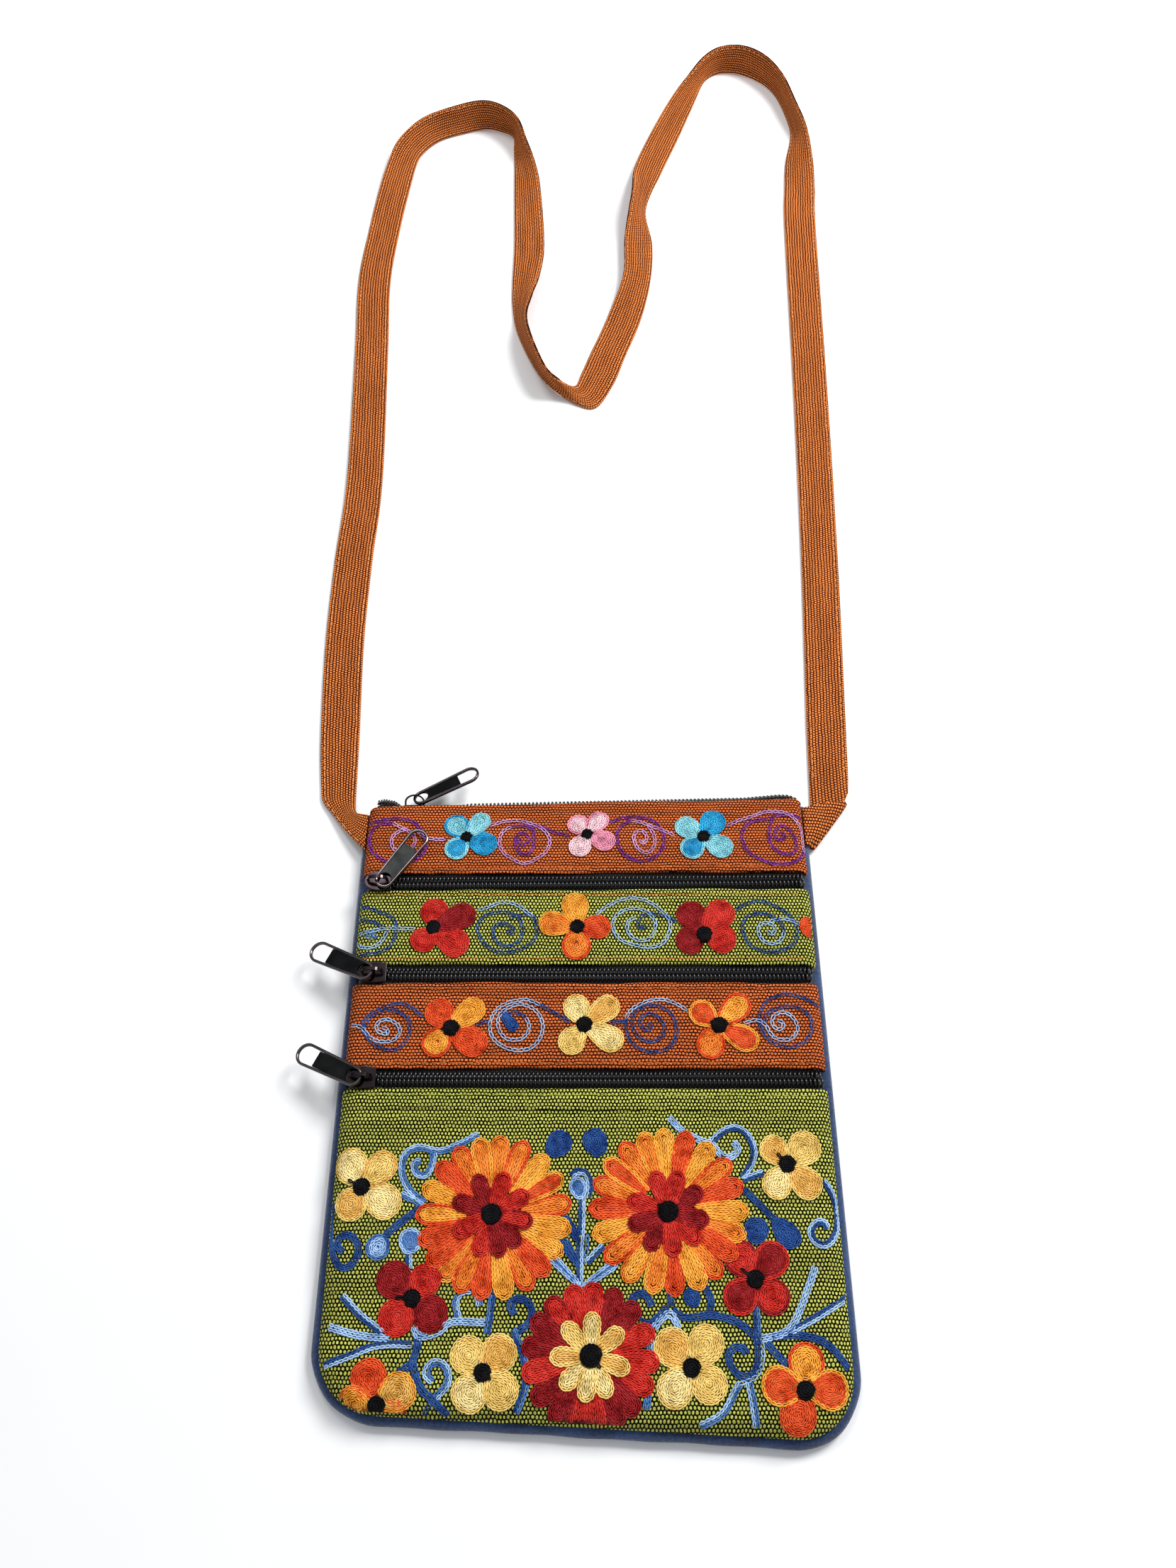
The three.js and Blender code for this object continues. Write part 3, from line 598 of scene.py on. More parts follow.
def roll_section(radius, skin):
    turn = np.linspace(math.pi / 2, -math.pi / 2, ROLL_STEPS)
    reach = radius - skin
    arc = [(reach * math.cos(a), radius + reach * math.sin(a)) for a in turn]
    return [(-SEAM_ALLOWANCE, 2 * radius - skin)] + arc + [(-BACK_FLAT, skin)]


def add_back():
    outline = seam_outline()
    outer, inner = [], []
    for i, (x, v, out_x, out_v) in enumerate(outline):
        radius = float(np.interp(v, FORM_Y, FORM_ROLL))
        lump = sum(size * math.sin(i * turn + start) for size, turn, start in LUMPS)
        for points, skin in ((outer, 0.0), (inner, WALL)):
            for out, z in roll_section(radius, skin):
                reach = out + (lump if out > LUMPS_FROM else 0.0)
                px, pv = x + reach * out_x, v + reach * out_v
                points.append((px, shear(px, pv), z))
    columns = len(outer) // len(outline)
    rim = tuple(i * columns + columns - 1 for i in range(len(outline)))
    faces = grid_faces(len(outline), columns) + [rim]
    points, faces = thick_sheet(np.array(outer), np.array(inner), faces)
    obj = add_piece("back_panel_suede", points, faces, "suede_navy")
    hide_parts("back_panel")


add_back()
for panel_name in PANELS:
    add_panel(panel_name)

# Zips: place of each slider along its zip
SLIDER_X = {"zip_upper": -82.2, "zip_middle": -81.2, "zip_lower": -81.9, "zip_top": -71.0}
FRONT_ZIPS = ["zip_lower", "zip_middle", "zip_upper"]
TAPE_DEPTH = WALL + GAP
TAPE_THICK = 0.7
TAPE_REACH = HALF_OPENING + 3.0
TAPE_INSET = 0.8
TAPE_STEP = 1.5
TAPE_ROWS = 6
SLIT = (0.35, 1.6)
NECK_END = -1.2
SLIDER_END = 6.5
# Ribs of a closed coil
RIB_PITCH = 1.6
RIB_RADIUS = 0.52
RIB_HALF = 2.65
RIB_HALF_IN_SLIDER = 2.0
RIB_TOP = 1.7
RIB_BASE = 0.35
RIB_BOW = 0.3
RIB_PARTING = -0.25
RIB_START = 0.7
RIB_INSET = 1.8
RIB_SIDES = 6
RIB_POINTS = 7
# An axis that no rib runs along
RIB_AXIS = (1.0, 0.05, 0.02)
# Core under the ribs: distance below their top, height of its foot, start, inset and steps
CORE_SUNK = 0.9
CORE_BASE = 0.25
CORE_START = 0.5
CORE_INSET = 1.2
CORE_STEP = 3.0
# Zip of the mouth, which leans to the front and bows out of the cloth
MOUTH_Z = 5.0
MOUTH_FACE = MOUTH - 0.3
MOUTH_END = HALF_WIDTH - 3.5
MOUTH_LIFT_X = [-88.0, -83.0, -79.0, -75.5, -73.0, -62.0, -48.0, 66.0, 80.0, 84.5, 87.0, 89.0]
MOUTH_LIFT = [3.2, 4.2, 3.4, 0.8, 0.0, 0.0, 2.0, 2.2, 3.2, 3.0, 1.8, -0.4]
MOUTH_LEAN = math.radians(20)
MOUTH_RIB_INSET = 0.8
MOUTH_RIB_BOW = 0.28
MOUTH_RIB_POINTS = 9
MOUTH_CORE_SUNK = 0.55
MOUTH_CORE_START = 0.3
MOUTH_CORE_INSET = 0.9
# Its two open strands before the slider: distance aside, half width, height, bow, pitch, thickness, ends
STRAND_ASIDE = 2.2
STRAND_HALF = 0.5
STRAND_TOP = RIB_TOP + 0.2
STRAND_BOW = 0.1
STRAND_PITCH = 1.05
STRAND_RADIUS = 0.42
STRAND_START = 0.6
STRAND_STOP = 1.0
STRAND_CORE = 0.22
STRAND_CORE_STOP = 0.6


def slit_at(x, slider_x):
    t = np.clip((x - slider_x - NECK_END) / SLIT[1], 0, 1)
    return SLIT[1] + (SLIT[0] - SLIT[1]) * t * t * (3 - 2 * t)


def add_front_tapes(zip_name):
    y = LINES[zip_name]
    x = spread(-HALF_WIDTH + TAPE_INSET, HALF_WIDTH - TAPE_INSET, TAPE_STEP)
    across = np.linspace(0, 1, TAPE_ROWS)[:, None]
    slit = slit_at(x, SLIDER_X[zip_name])[None, :]
    for part, side in (("tape_1", 1), ("tape_2", -1)):
        v = y + side * (slit + (TAPE_REACH - slit) * across)
        wide = x[None, :] + 0 * v
        outer = front_points(wide, v, TAPE_DEPTH + 0 * v, base_height).reshape(-1, 3)
        inner = front_points(wide, v, TAPE_DEPTH + TAPE_THICK + 0 * v, base_height).reshape(-1, 3)
        points, faces = thick_sheet(outer, inner, grid_faces(TAPE_ROWS, len(x)))
        name = f"{zip_name}_{part}"
        obj = add_piece(name + "_cloth", points, faces, "tape_black")
        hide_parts(name)


def ribs(paths, sides=RIB_SIDES):
    """Points and faces of small tubes, one along each path of points with its own thickness."""
    points, faces = [], []
    for path, radius in paths:
        path = np.asarray(path, float)
        ahead = unit(np.gradient(path, axis=0))
        first = unit(np.cross(ahead, np.array(RIB_AXIS)))
        second = np.cross(ahead, first)
        turn = (np.arange(sides) * 2 * math.pi / sides)[None, :, None]
        around = np.cos(turn) * first[:, None, :] + np.sin(turn) * second[:, None, :]
        ring = path[:, None, :] + radius * around
        faces += moved(tube_faces(len(path), sides), sum(len(p) for p in points))
        points.append(ring.reshape(-1, 3))
    return np.concatenate(points), faces


def rib_arc(half, top, base, count=RIB_POINTS):
    """Sideways and outward distances along one rib."""
    turn = np.linspace(math.pi, 0, count)
    return half * np.cos(turn), base + (top - base) * np.sin(turn)


def add_rings(points, faces, rings):
    """Points and faces with a tube through rings added to them."""
    added = moved(tube_faces(len(rings), len(rings[0])), len(points))
    return np.concatenate([points, *rings]), faces + added


def add_front_coil(zip_name):
    y = LINES[zip_name]
    start = SLIDER_X[zip_name] + NECK_END + RIB_START
    paths = []
    for number, x in enumerate(np.arange(start, HALF_WIDTH - RIB_INSET, RIB_PITCH / 2)):
        hand = 1 if number % 2 else -1
        half = RIB_HALF if x - SLIDER_X[zip_name] > SLIDER_END else RIB_HALF_IN_SLIDER
        side, out = rib_arc((half - RIB_PARTING) / 2, RIB_TOP, RIB_BASE)
        side = side + (half + RIB_PARTING) / 2
        lean = RIB_BOW * (side / half) ** 2
        paths.append((front_points(x + lean, y + hand * side, TAPE_DEPTH - out, base_height), RIB_RADIUS))
    side, out = rib_arc(RIB_HALF_IN_SLIDER, RIB_TOP - CORE_SUNK, CORE_BASE)
    rings = [front_points(x + 0 * side, y + side, TAPE_DEPTH - out, base_height)
             for x in spread(start - CORE_START, HALF_WIDTH - CORE_INSET, CORE_STEP)]
    points, faces = add_rings(*ribs(paths), rings)
    name = zip_name + "_coil"
    obj = add_piece(name + "_ribs", points, faces, "coil_black")
    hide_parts(name)


def mouth_points(x, side, out):
    """Points of the mouth's zip: place along it, distance aside and out of its tapes."""
    x, side, out = np.broadcast_arrays(x, side, out)
    v = MOUTH_FACE + out * math.cos(MOUTH_LEAN) - side * math.sin(MOUTH_LEAN)
    z = MOUTH_Z + out * math.sin(MOUTH_LEAN) + side * math.cos(MOUTH_LEAN)
    return np.stack([x, shear(x, v), z], axis=-1)


def mouth_lift(x):
    return np.interp(x, MOUTH_LIFT_X, MOUTH_LIFT)


def add_mouth_coil():
    parting = SLIDER_X["zip_top"] + NECK_END
    paths = []
    side, out = rib_arc(RIB_HALF_IN_SLIDER, RIB_TOP, RIB_BASE, MOUTH_RIB_POINTS)
    for x in np.arange(parting + RIB_START, HALF_WIDTH - MOUTH_RIB_INSET, RIB_PITCH):
        lean = MOUTH_RIB_BOW * side / RIB_HALF_IN_SLIDER
        paths.append((mouth_points(x + lean, side, mouth_lift(x) + out), RIB_RADIUS))
    side, out = rib_arc(STRAND_HALF, STRAND_TOP, RIB_BASE)
    for x in np.arange(-MOUTH_END + STRAND_START, parting - STRAND_STOP, STRAND_PITCH):
        for aside in (-STRAND_ASIDE, STRAND_ASIDE):
            strand = mouth_points(x + STRAND_BOW * side, aside + side, mouth_lift(x) + out)
            paths.append((strand, STRAND_RADIUS))
    points, faces = ribs(paths)
    side, out = rib_arc(RIB_HALF_IN_SLIDER, RIB_TOP - MOUTH_CORE_SUNK, CORE_BASE)
    runs = [(parting + MOUTH_CORE_START, HALF_WIDTH - MOUTH_CORE_INSET, 1.0, 0.0)]
    for aside in (-STRAND_ASIDE, STRAND_ASIDE):
        runs.append((-MOUTH_END, parting - STRAND_CORE_STOP, STRAND_CORE, aside))
    for low, high, scale, aside in runs:
        stations = spread(low, high, CORE_STEP)
        rings = [mouth_points(x, aside + scale * side, mouth_lift(x) + out) for x in stations]
        points, faces = add_rings(points, faces, rings)
    obj = add_piece("zip_top_coil_ribs", points, faces, "coil_black")
    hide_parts("zip_top_coil")


def add_mouth_tapes():
    x = spread(-MOUTH_END, MOUTH_END, TAPE_STEP)
    slit = slit_at(x, SLIDER_X["zip_top"])
    top = front_points(x, MOUTH + 0 * x, WALL + 0 * x, base_height)[:, 2] - GAP
    spans = {"zip_top_tape_1": (slit, top - MOUTH_Z), "zip_top_tape_2": (-slit, 0 * x + WALL + GAP - MOUTH_Z)}
    for name, (inner, outer) in spans.items():
        surfaces = []
        for back in (0.0, TAPE_THICK):
            rows = [mouth_points(x, inner + (outer - inner) * t, mouth_lift(x) * (1 - t * t) - back)
                    for t in np.linspace(0, 1, TAPE_ROWS)]
            surfaces.append(np.concatenate(rows))
        points, faces = thick_sheet(*surfaces, grid_faces(TAPE_ROWS, len(x)))
        obj = add_piece(name + "_cloth", points, faces, "tape_black")
        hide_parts(name)


for zip_name in FRONT_ZIPS:
    add_front_tapes(zip_name)
    add_front_coil(zip_name)
add_mouth_tapes()
add_mouth_coil()

# Sliders keep their solids, with softened edges; pulls are rebuilt with round rims and a sunk plate
PLATE_TOP = 3.5
EYE_RADIUS = 2.7
RIM = 1.1
RIM_SIDES = 12
RIM_SQUARE = 0.6
FAR_CENTRE = 21.5
FAR_RADIUS = 4.4
END_POINTS = 15
PULL_THICK = 1.4
PLATE_END = 17.0
PLATE_THICK = 0.8
PLATE_HALF = EYE_RADIUS + 0.35
PLATE_POINTS = 13
# Softened edges of the sliders: points this near are joined, width, steps and least angle in degrees
WELD = 0.02
SOFT_WIDTH = 0.22
SOFT_STEPS = 3
SOFT_ANGLE = 30
# Place of the eye along the zip and above the slider's plate, then yaw, pitch and roll in degrees
PULL_REST = {
    "zip_upper": (2.9, 1.5, 57, -4, 0),
    "zip_middle": (-2.8, 1.8, 154, -15, 0),
    "zip_lower": (-2.8, 1.8, 154, -15, 0),
    "zip_top": (3.0, 3.5, 3, 26, 49),
}


def pull_matrix(zip_name):
    x = SLIDER_X[zip_name]
    if zip_name == "zip_top":
        origin = Vector((x, float(shear(x, MOUTH_FACE)), MOUTH_Z))
        turn = Matrix.Rotation(MOUTH_LEAN - math.pi / 2, 4, "X")
    else:
        v = LINES[zip_name]
        origin = Vector((x, float(shear(x, v)), float(base_height(x, v)) - TAPE_DEPTH))
        turn = Matrix.Identity(4)
    eye_x, eye_z, yaw, pitch, roll = PULL_REST[zip_name]
    rest = Matrix.Rotation(math.radians(yaw), 4, "Z")
    rest = rest @ Matrix.Rotation(math.radians(-pitch), 4, "Y")
    rest = rest @ Matrix.Rotation(math.radians(roll), 4, "X")
    return Matrix.Translation(origin) @ turn @ Matrix.Translation((eye_x, 0, PLATE_TOP + eye_z)) @ rest


def stadium(near, far):
    turn = np.linspace(math.pi / 2, 3 * math.pi / 2, END_POINTS)
    start = [(near * math.cos(a), near * math.sin(a)) for a in turn]
    end = [(FAR_CENTRE - far * math.cos(a), -far * math.sin(a)) for a in turn]
    return np.array(start + end)


def squared(value):
    """A sine or cosine that keeps near its greatest size for longer."""
    return math.copysign(abs(value) ** RIM_SQUARE, value)


def pull_rim():
    """Points and faces of a rim of rounded section round the whole outline."""
    line = stadium(EYE_RADIUS + RIM / 2, FAR_RADIUS - RIM / 2)
    ahead = np.roll(line, -1, 0) - np.roll(line, 1, 0)
    out = np.stack([ahead[:, 1], -ahead[:, 0]], 1) / np.linalg.norm(ahead, axis=1)[:, None]
    points = []
    for place, normal in zip(line, out):
        for a in np.arange(RIM_SIDES) * 2 * math.pi / RIM_SIDES:
            reach = RIM / 2 * squared(math.cos(a))
            high = PULL_THICK / 2 * squared(math.sin(a))
            points.append((place[0] + reach * normal[0], place[1] + reach * normal[1], high))
    count = len(points)
    around = grid_faces(len(line) + 1, RIM_SIDES, closed=True)
    return points, [tuple(i % count for i in face) for face in around]


def pull_plate():
    """Points and faces of a thin plate that fills the rim from its eye to its window."""
    turn = np.linspace(math.pi / 2, -math.pi / 2, PLATE_POINTS)
    arc = [(EYE_RADIUS * math.cos(a), EYE_RADIUS * math.sin(a)) for a in turn]
    left = [(PLATE_END, PLATE_HALF), (0.0, PLATE_HALF)]
    right = [(0.0, -PLATE_HALF), (PLATE_END, -PLATE_HALF)]
    outline = left + arc + right
    size = len(outline)
    points = [(x, y, z) for z in (PLATE_THICK / 2, -PLATE_THICK / 2) for x, y in outline]
    faces = [tuple(range(size)), tuple(range(size, 2 * size))[::-1]]
    for i in range(size):
        j = (i + 1) % size
        faces.append((j, i, size + i, size + j))
    return points, faces


def add_pull(zip_name):
    points, faces = pull_rim()
    plate_points, plate_faces = pull_plate()
    kinds = [0] * len(faces) + [1] * len(plate_faces)
    faces = faces + moved(plate_faces, len(points))
    matrix = pull_matrix(zip_name)
    placed = [tuple(matrix @ Vector(p)) for p in points + plate_points]
    name = zip_name + "_pull"
    looks = [materials["gunmetal"], materials["gunmetal_plate"]]
    obj = add_piece(name + "_metal", placed, faces, "gunmetal", looks, name, kinds)
    obj.data.polygons.foreach_set("use_smooth", [kind == 0 for kind in kinds])
    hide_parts(name)


def dress_slider(zip_name):
    obj = nodes[zip_name + "_slider"]
    obj.data.materials.clear()
    obj.data.materials.append(materials["gunmetal_dark"])
    weld = obj.modifiers.new("weld", "WELD")
    weld.merge_threshold = WELD * MM
    bevel = obj.modifiers.new("soft_edges", "BEVEL")
    bevel.width = SOFT_WIDTH * MM
    bevel.segments = SOFT_STEPS
    bevel.limit_method = "ANGLE"
    bevel.angle_limit = math.radians(SOFT_ANGLE)


for zip_name in SLIDER_X:
    add_pull(zip_name)
    dress_slider(zip_name)

# Shoulder strap: both edges (x, y, z each), from the left seam round to the right seam
STRAP_THICK = 1.5
STRAP_WIDTH = 17.2
STRAP_PARTS = 8
STRAP_LOWEST = 0.4
STRAP_CLEAR = 0.1
# Section of the webbing: points round it, and how square it is across and through
STRAP_SIDES = 24
STRAP_SQUARE = (0.35, 0.5)
# Rows of the route that run straight at the fold, those past its start, those of the flap, steps between two
FOLD_ROWS = 7
TURNED_ROWS = 6
FLAP_ROWS = 3
FOLD_STEPS = 4
# Stitches along both edges: share of the width, distance apart, length, thickness, sides
STRAP_STITCH_AT = 0.4
STRAP_STITCH_PITCH = 3.1
STRAP_STITCH = 2.5
STRAP_STITCH_RADIUS = 0.24
STRAP_STITCH_SIDES = 4
# Height of a stitch along its length, above the strap's middle
STRAP_STITCH_HEIGHT = [0.42, 0.6, 0.64, 0.6, 0.42]
STRAP_ROUTE = [
    (-89.9, 93.5, 6.1, -89.9, 109.8, 5.9), (-95, 98.8, 4.8, -93.2, 110.5, 5.4),
    (-100, 104.6, 3.4, -95, 111.4, 4.6), (-106, 112.3, 2.0, -96, 113.5, 3.6),
    (-110.6, 118.4, 1.3, -96.5, 117.5, 2.4), (-112, 125, 1.0, -97, 125, 1.4),
    (-114.8, 150, 1.0, -98, 150, 1.0), (-117.6, 198, 1.0, -100.3, 198, 1.0),
    (-118, 244, 1.0, -100.4, 244, 1.0), (-116.8, 294, 1.6, -99.5, 294, 1.0),
    (-120.7, 380, 1.2, -103.5, 380, 1.0), (-123.7, 434, 1.0, -106.3, 434, 1.0),
    (-121.4, 477, 1.0, -104.1, 477, 1.0), (-118.4, 508, 2.0, -101.3, 508, 1.0),
    (-114.6, 529, 4.5, -98.5, 532, 1.0), (-109, 545, 8.0, -95, 543, 0.7),
    (-95, 558, 12.5, -86.5, 554, 0.4), (-76, 564, 15.8, -74, 560.5, 0.4),
    (-60, 567, 17.0, -60, 565, 0.4), (-48, 562, 16.8, -50, 562.5, 0.4),
    (-39.5, 552, 16.0, -42.8, 557, 0.4), (-34.5, 538, 13.0, -42.3, 545, 0.4),
    (-29.6, 525, 8.5, -41.5, 530, 0.7), (-26.2, 508, 5.0, -41, 510, 1.0),
    (-23.2, 463, 1.5, -39.8, 463, 1.0), (-25.2, 434, 5.0, -39.9, 434, 1.0),
    (-28.5, 412, 11.0, -39.2, 414, 0.7), (-30.5, 388, 15.5, -35.5, 393, 0.4),
    (-21.5, 357, 16.0, -23.4, 364, 0.4), (-14, 351.5, 11.0, -8.5, 347, 0.7),
    (-6, 355.5, 1.8, 4.5, 341.7, 1.0), (-2, 366, 1.4, 14, 357.5, 1.0),
    (2.5, 380, 1.2, 20.3, 377, 1.0), (11.5, 406, 1.8, 29, 404, 1.0),
    (20, 434, 6.0, 34.9, 434, 1.0), (21.2, 463, 7.0, 36.6, 463, 0.7),
    (25.4, 490, 14.5, 33.6, 493, 0.4), (27.6, 522, 6.0, 43.4, 524, 1.0),
    (37, 556, 2.2, 54.1, 555, 1.0), (50.5, 586, 6.0, 65.4, 590, 1.0),
    (60.5, 600, 10.5, 70.5, 607, 0.7), (71, 613, 14.8, 75.5, 615.5, 0.4),
    (82, 621, 16.0, 83, 619.5, 0.4), (96, 620, 16.8, 93, 618.5, 0.4),
    (108, 610, 16.8, 104, 612, 0.4), (117, 594, 15.5, 113.5, 600, 0.4),
    (122.8, 572, 14.0, 119, 580, 0.4), (128, 552, 11.5, 121, 558, 0.7),
    (130.5, 530, 7.0, 116, 533, 0.7), (130.6, 508, 2.5, 113.5, 508, 1.0),
    (128.6, 477, 1.2, 111.2, 477, 1.0), (123.7, 354, 1.0, 106.4, 354, 1.0),
    (118.5, 244, 1.0, 101.3, 244, 1.0), (113.3, 156, 1.0, 96.2, 156, 1.0),
    (111.7, 129, 1.0, 95, 129, 1.0), (110.9, 122.5, 1.0, 94.4, 116, 1.0),
    (108.6, 117.7, 1.0, 92.6, 96.6, 1.0), (109.5, 116.9, 2.1, 93.4, 95.6, 2.1),
    (108.6, 117.7, 3.2, 92.6, 96.6, 3.2), (100.5, 116.2, 4.8, 91.7, 96.4, 5.3),
    (89.9, 113.0, 6.1, 89.9, 96.2, 6.2),
]


def strap_rows():
    """Edges of the strap in short steps: smooth along its run, straight over the fold at its right end."""
    route = np.array(STRAP_ROUTE)
    run = smooth_line(route[:-FOLD_ROWS], STRAP_PARTS)
    fold = [run[-1]]
    for row in route[-FOLD_ROWS:]:
        last = fold[-1]
        fold += [last + (row - last) * t for t in np.arange(1, FOLD_STEPS + 1) / FOLD_STEPS]
    rows = np.concatenate([run[:-1], np.array(fold)])
    rows[:, [2, 5]] = np.maximum(rows[:, [2, 5]], STRAP_LOWEST)
    return rows


def strap_weave(length, rings, wide):
    """Place in the weave of each point: along and across the run, and level with the pouch past the fold."""
    place = np.zeros((*rings.shape[:2], 2))
    place[..., 0] = length[:, None]
    place[..., 1] = wide * STRAP_WIDTH
    turned = len(rings) - TURNED_ROWS * FOLD_STEPS - 1
    flap = len(rings) - FLAP_ROWS * FOLD_STEPS - 1
    middle = rings[turned].mean(0)
    place[turned:flap, :, 0] = length[turned] + middle[1] - rings[turned:flap, :, 1]
    place[turned:flap, :, 1] = middle[0] - rings[turned:flap, :, 0]
    place[flap:] = rings[flap:, :, :2]
    return place * MM


def add_strap_stitches(middle, across, up, length):
    """Stitches on both faces along both edges, up to the fold."""
    end = length[-(TURNED_ROWS * FOLD_STEPS + 1)]
    share = np.linspace(0, 1, len(STRAP_STITCH_HEIGHT))
    height = np.array(STRAP_STITCH_HEIGHT)[:, None]
    paths = []
    for at in np.arange(STRAP_STITCH_PITCH, end, STRAP_STITCH_PITCH):
        along = at + STRAP_STITCH * share
        centre, side, rise = (
            np.stack([np.interp(along, length, line[:, k]) for k in range(3)], 1)
            for line in (middle, across, up))
        for edge in (-STRAP_STITCH_AT, STRAP_STITCH_AT):
            for face in (1, -1):
                paths.append((centre + edge * side + face * height * rise, STRAP_STITCH_RADIUS))
    points, faces = ribs(paths, STRAP_STITCH_SIDES)
    return add_piece("strap_stitches", points, faces, "webbing_orange", [thread_material("apricot")])


def power_wave(wave, power):
    return np.sign(wave) * np.abs(wave) ** power


def add_strap():
    rows = strap_rows()
    a, b = rows[:, :3], rows[:, 3:]
    middle = (a + b) / 2
    across = b - a
    up = unit(np.cross(across, np.gradient(middle, axis=0)))
    low = np.minimum(a[:, 2], b[:, 2]) - STRAP_THICK / 2 * np.abs(up[:, 2])
    middle[:, 2] += np.maximum(STRAP_CLEAR - low, 0)
    turn = np.arange(STRAP_SIDES) * 2 * math.pi / STRAP_SIDES
    wide = 0.5 * power_wave(np.cos(turn), STRAP_SQUARE[0])
    thick = STRAP_THICK / 2 * power_wave(np.sin(turn), STRAP_SQUARE[1])
    rings = middle[:, None, :] + across[:, None, :] * wide[None, :, None]
    rings = rings + up[:, None, :] * thick[None, :, None]
    faces = tube_faces(len(rows), STRAP_SIDES)
    obj = add_piece("strap_webbing", rings.reshape(-1, 3), faces, "webbing_orange")
    length = run_length(middle)
    layer = obj.data.uv_layers.new(name="along")
    corners = np.zeros(len(obj.data.loops), np.int32)
    obj.data.loops.foreach_get("vertex_index", corners)
    uv = strap_weave(length, rings, wide).reshape(-1, 2)[corners]
    layer.data.foreach_set("uv", uv.astype(np.float32).ravel())
    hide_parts("strap")
    stitches = add_strap_stitches(middle, across, up, length)


add_strap()

# Embroidery: chain stitches laid along rows, charted by photograph pixel and dropped onto the cloth
STITCH = 1.8
ROW = 1.2
VINE_ROW = 1.3
VINE_PARTS = 6
MARGIN = 1.3
SHORTEST = 0.6
NUDGE = 1.4
RAISED_NUDGE = 0.3
LOOSE_WIDER = 0.45
LOOSE_LONGER = 0.25
LOOSE_THINNER = 0.25
# Spread by chance of the ends of a stitch in mm, and of its thickness as a share
END_CHANCE = 0.06
FAT_CHANCE = 0.07
# One strand of a link: place along it, distance aside, height above the cloth, thickness; then its sides
STRAND = [
    (-0.16, 0.08, 0.10, 0.19), (0.18, 0.33, 0.40, 0.27), (0.62, 0.40, 0.46, 0.28), (1.06, 0.14, 0.26, 0.21),
]
STRAND_SIDES = 4
# Rings of the thread under the stitches: share of the outline, height; then how fast they take up the lift
BED_RINGS = [(1.0, 0.0), (0.93, 0.2), (0.6, 0.25), (0.25, 0.25)]
BED_RISE = 4
# Difference of lifts from which a bed covers a stitch
COVER_STEP = 0.01
# Petals: inset of the bed, points along a side, least half width of a row, width that still takes a row down
# the middle, least share of the length up to the widest place
PETAL_BED = 0.35
PETAL_POINTS = 14
PETAL_LEAST = 0.4
PETAL_MIDDLE = -0.35
PETAL_WIDEST = 0.5
# Row down the middle: share of the length where it starts in a closed and an open petal, shortest in stitches
MIDDLE_CLOSED = 0.12
MIDDLE_OPEN = 0.2
MIDDLE_LEAST = 0.7
OPEN_INSET = 0.3
# Black middles: size of their stitches, points in a turn, least start and end of the spiral, inset of the bed
DISC_STITCH = 0.7
DISC_POINTS = 16
DISC_LEAST = 0.5
DISC_END = 0.3
DISC_BED = 0.3


def on_front(u, v):
    """Point of the front, in mm, that the photograph shows at pixel u, v."""
    cu, cv = (u - PHOTO[0] / 2) / FOCAL, (PHOTO[1] / 2 - v) / FOCAL
    tilt = math.radians(TILT)
    ray = np.array([cu, cv * math.cos(tilt) + math.sin(tilt), cv * math.sin(tilt) - math.cos(tilt)])
    height = FORM_CROWN[0]
    for _ in range(ROUNDS):
        x, y, z = np.array(EYE) + ray * (height - EYE[2]) / ray[2]
        height = float(cloth_height(x, unshear(x, y)))
    return np.array([x, y])


def cloth_under(flat):
    """Height of the cloth at flat points of the pouch."""
    return cloth_height(flat[:, 0], unshear(flat[:, 0], flat[:, 1]))


def inside_outline(points, outline):
    """Which of the points lie within a closed outline."""
    x, y = points[:, 0], points[:, 1]
    found = np.zeros(len(points), bool)
    for (ax, ay), (bx, by) in zip(outline, np.roll(outline, -1, 0)):
        if ay != by:
            found ^= ((ay > y) != (by > y)) & (x < (bx - ax) * (y - ay) / (by - ay) + ax)
    return found


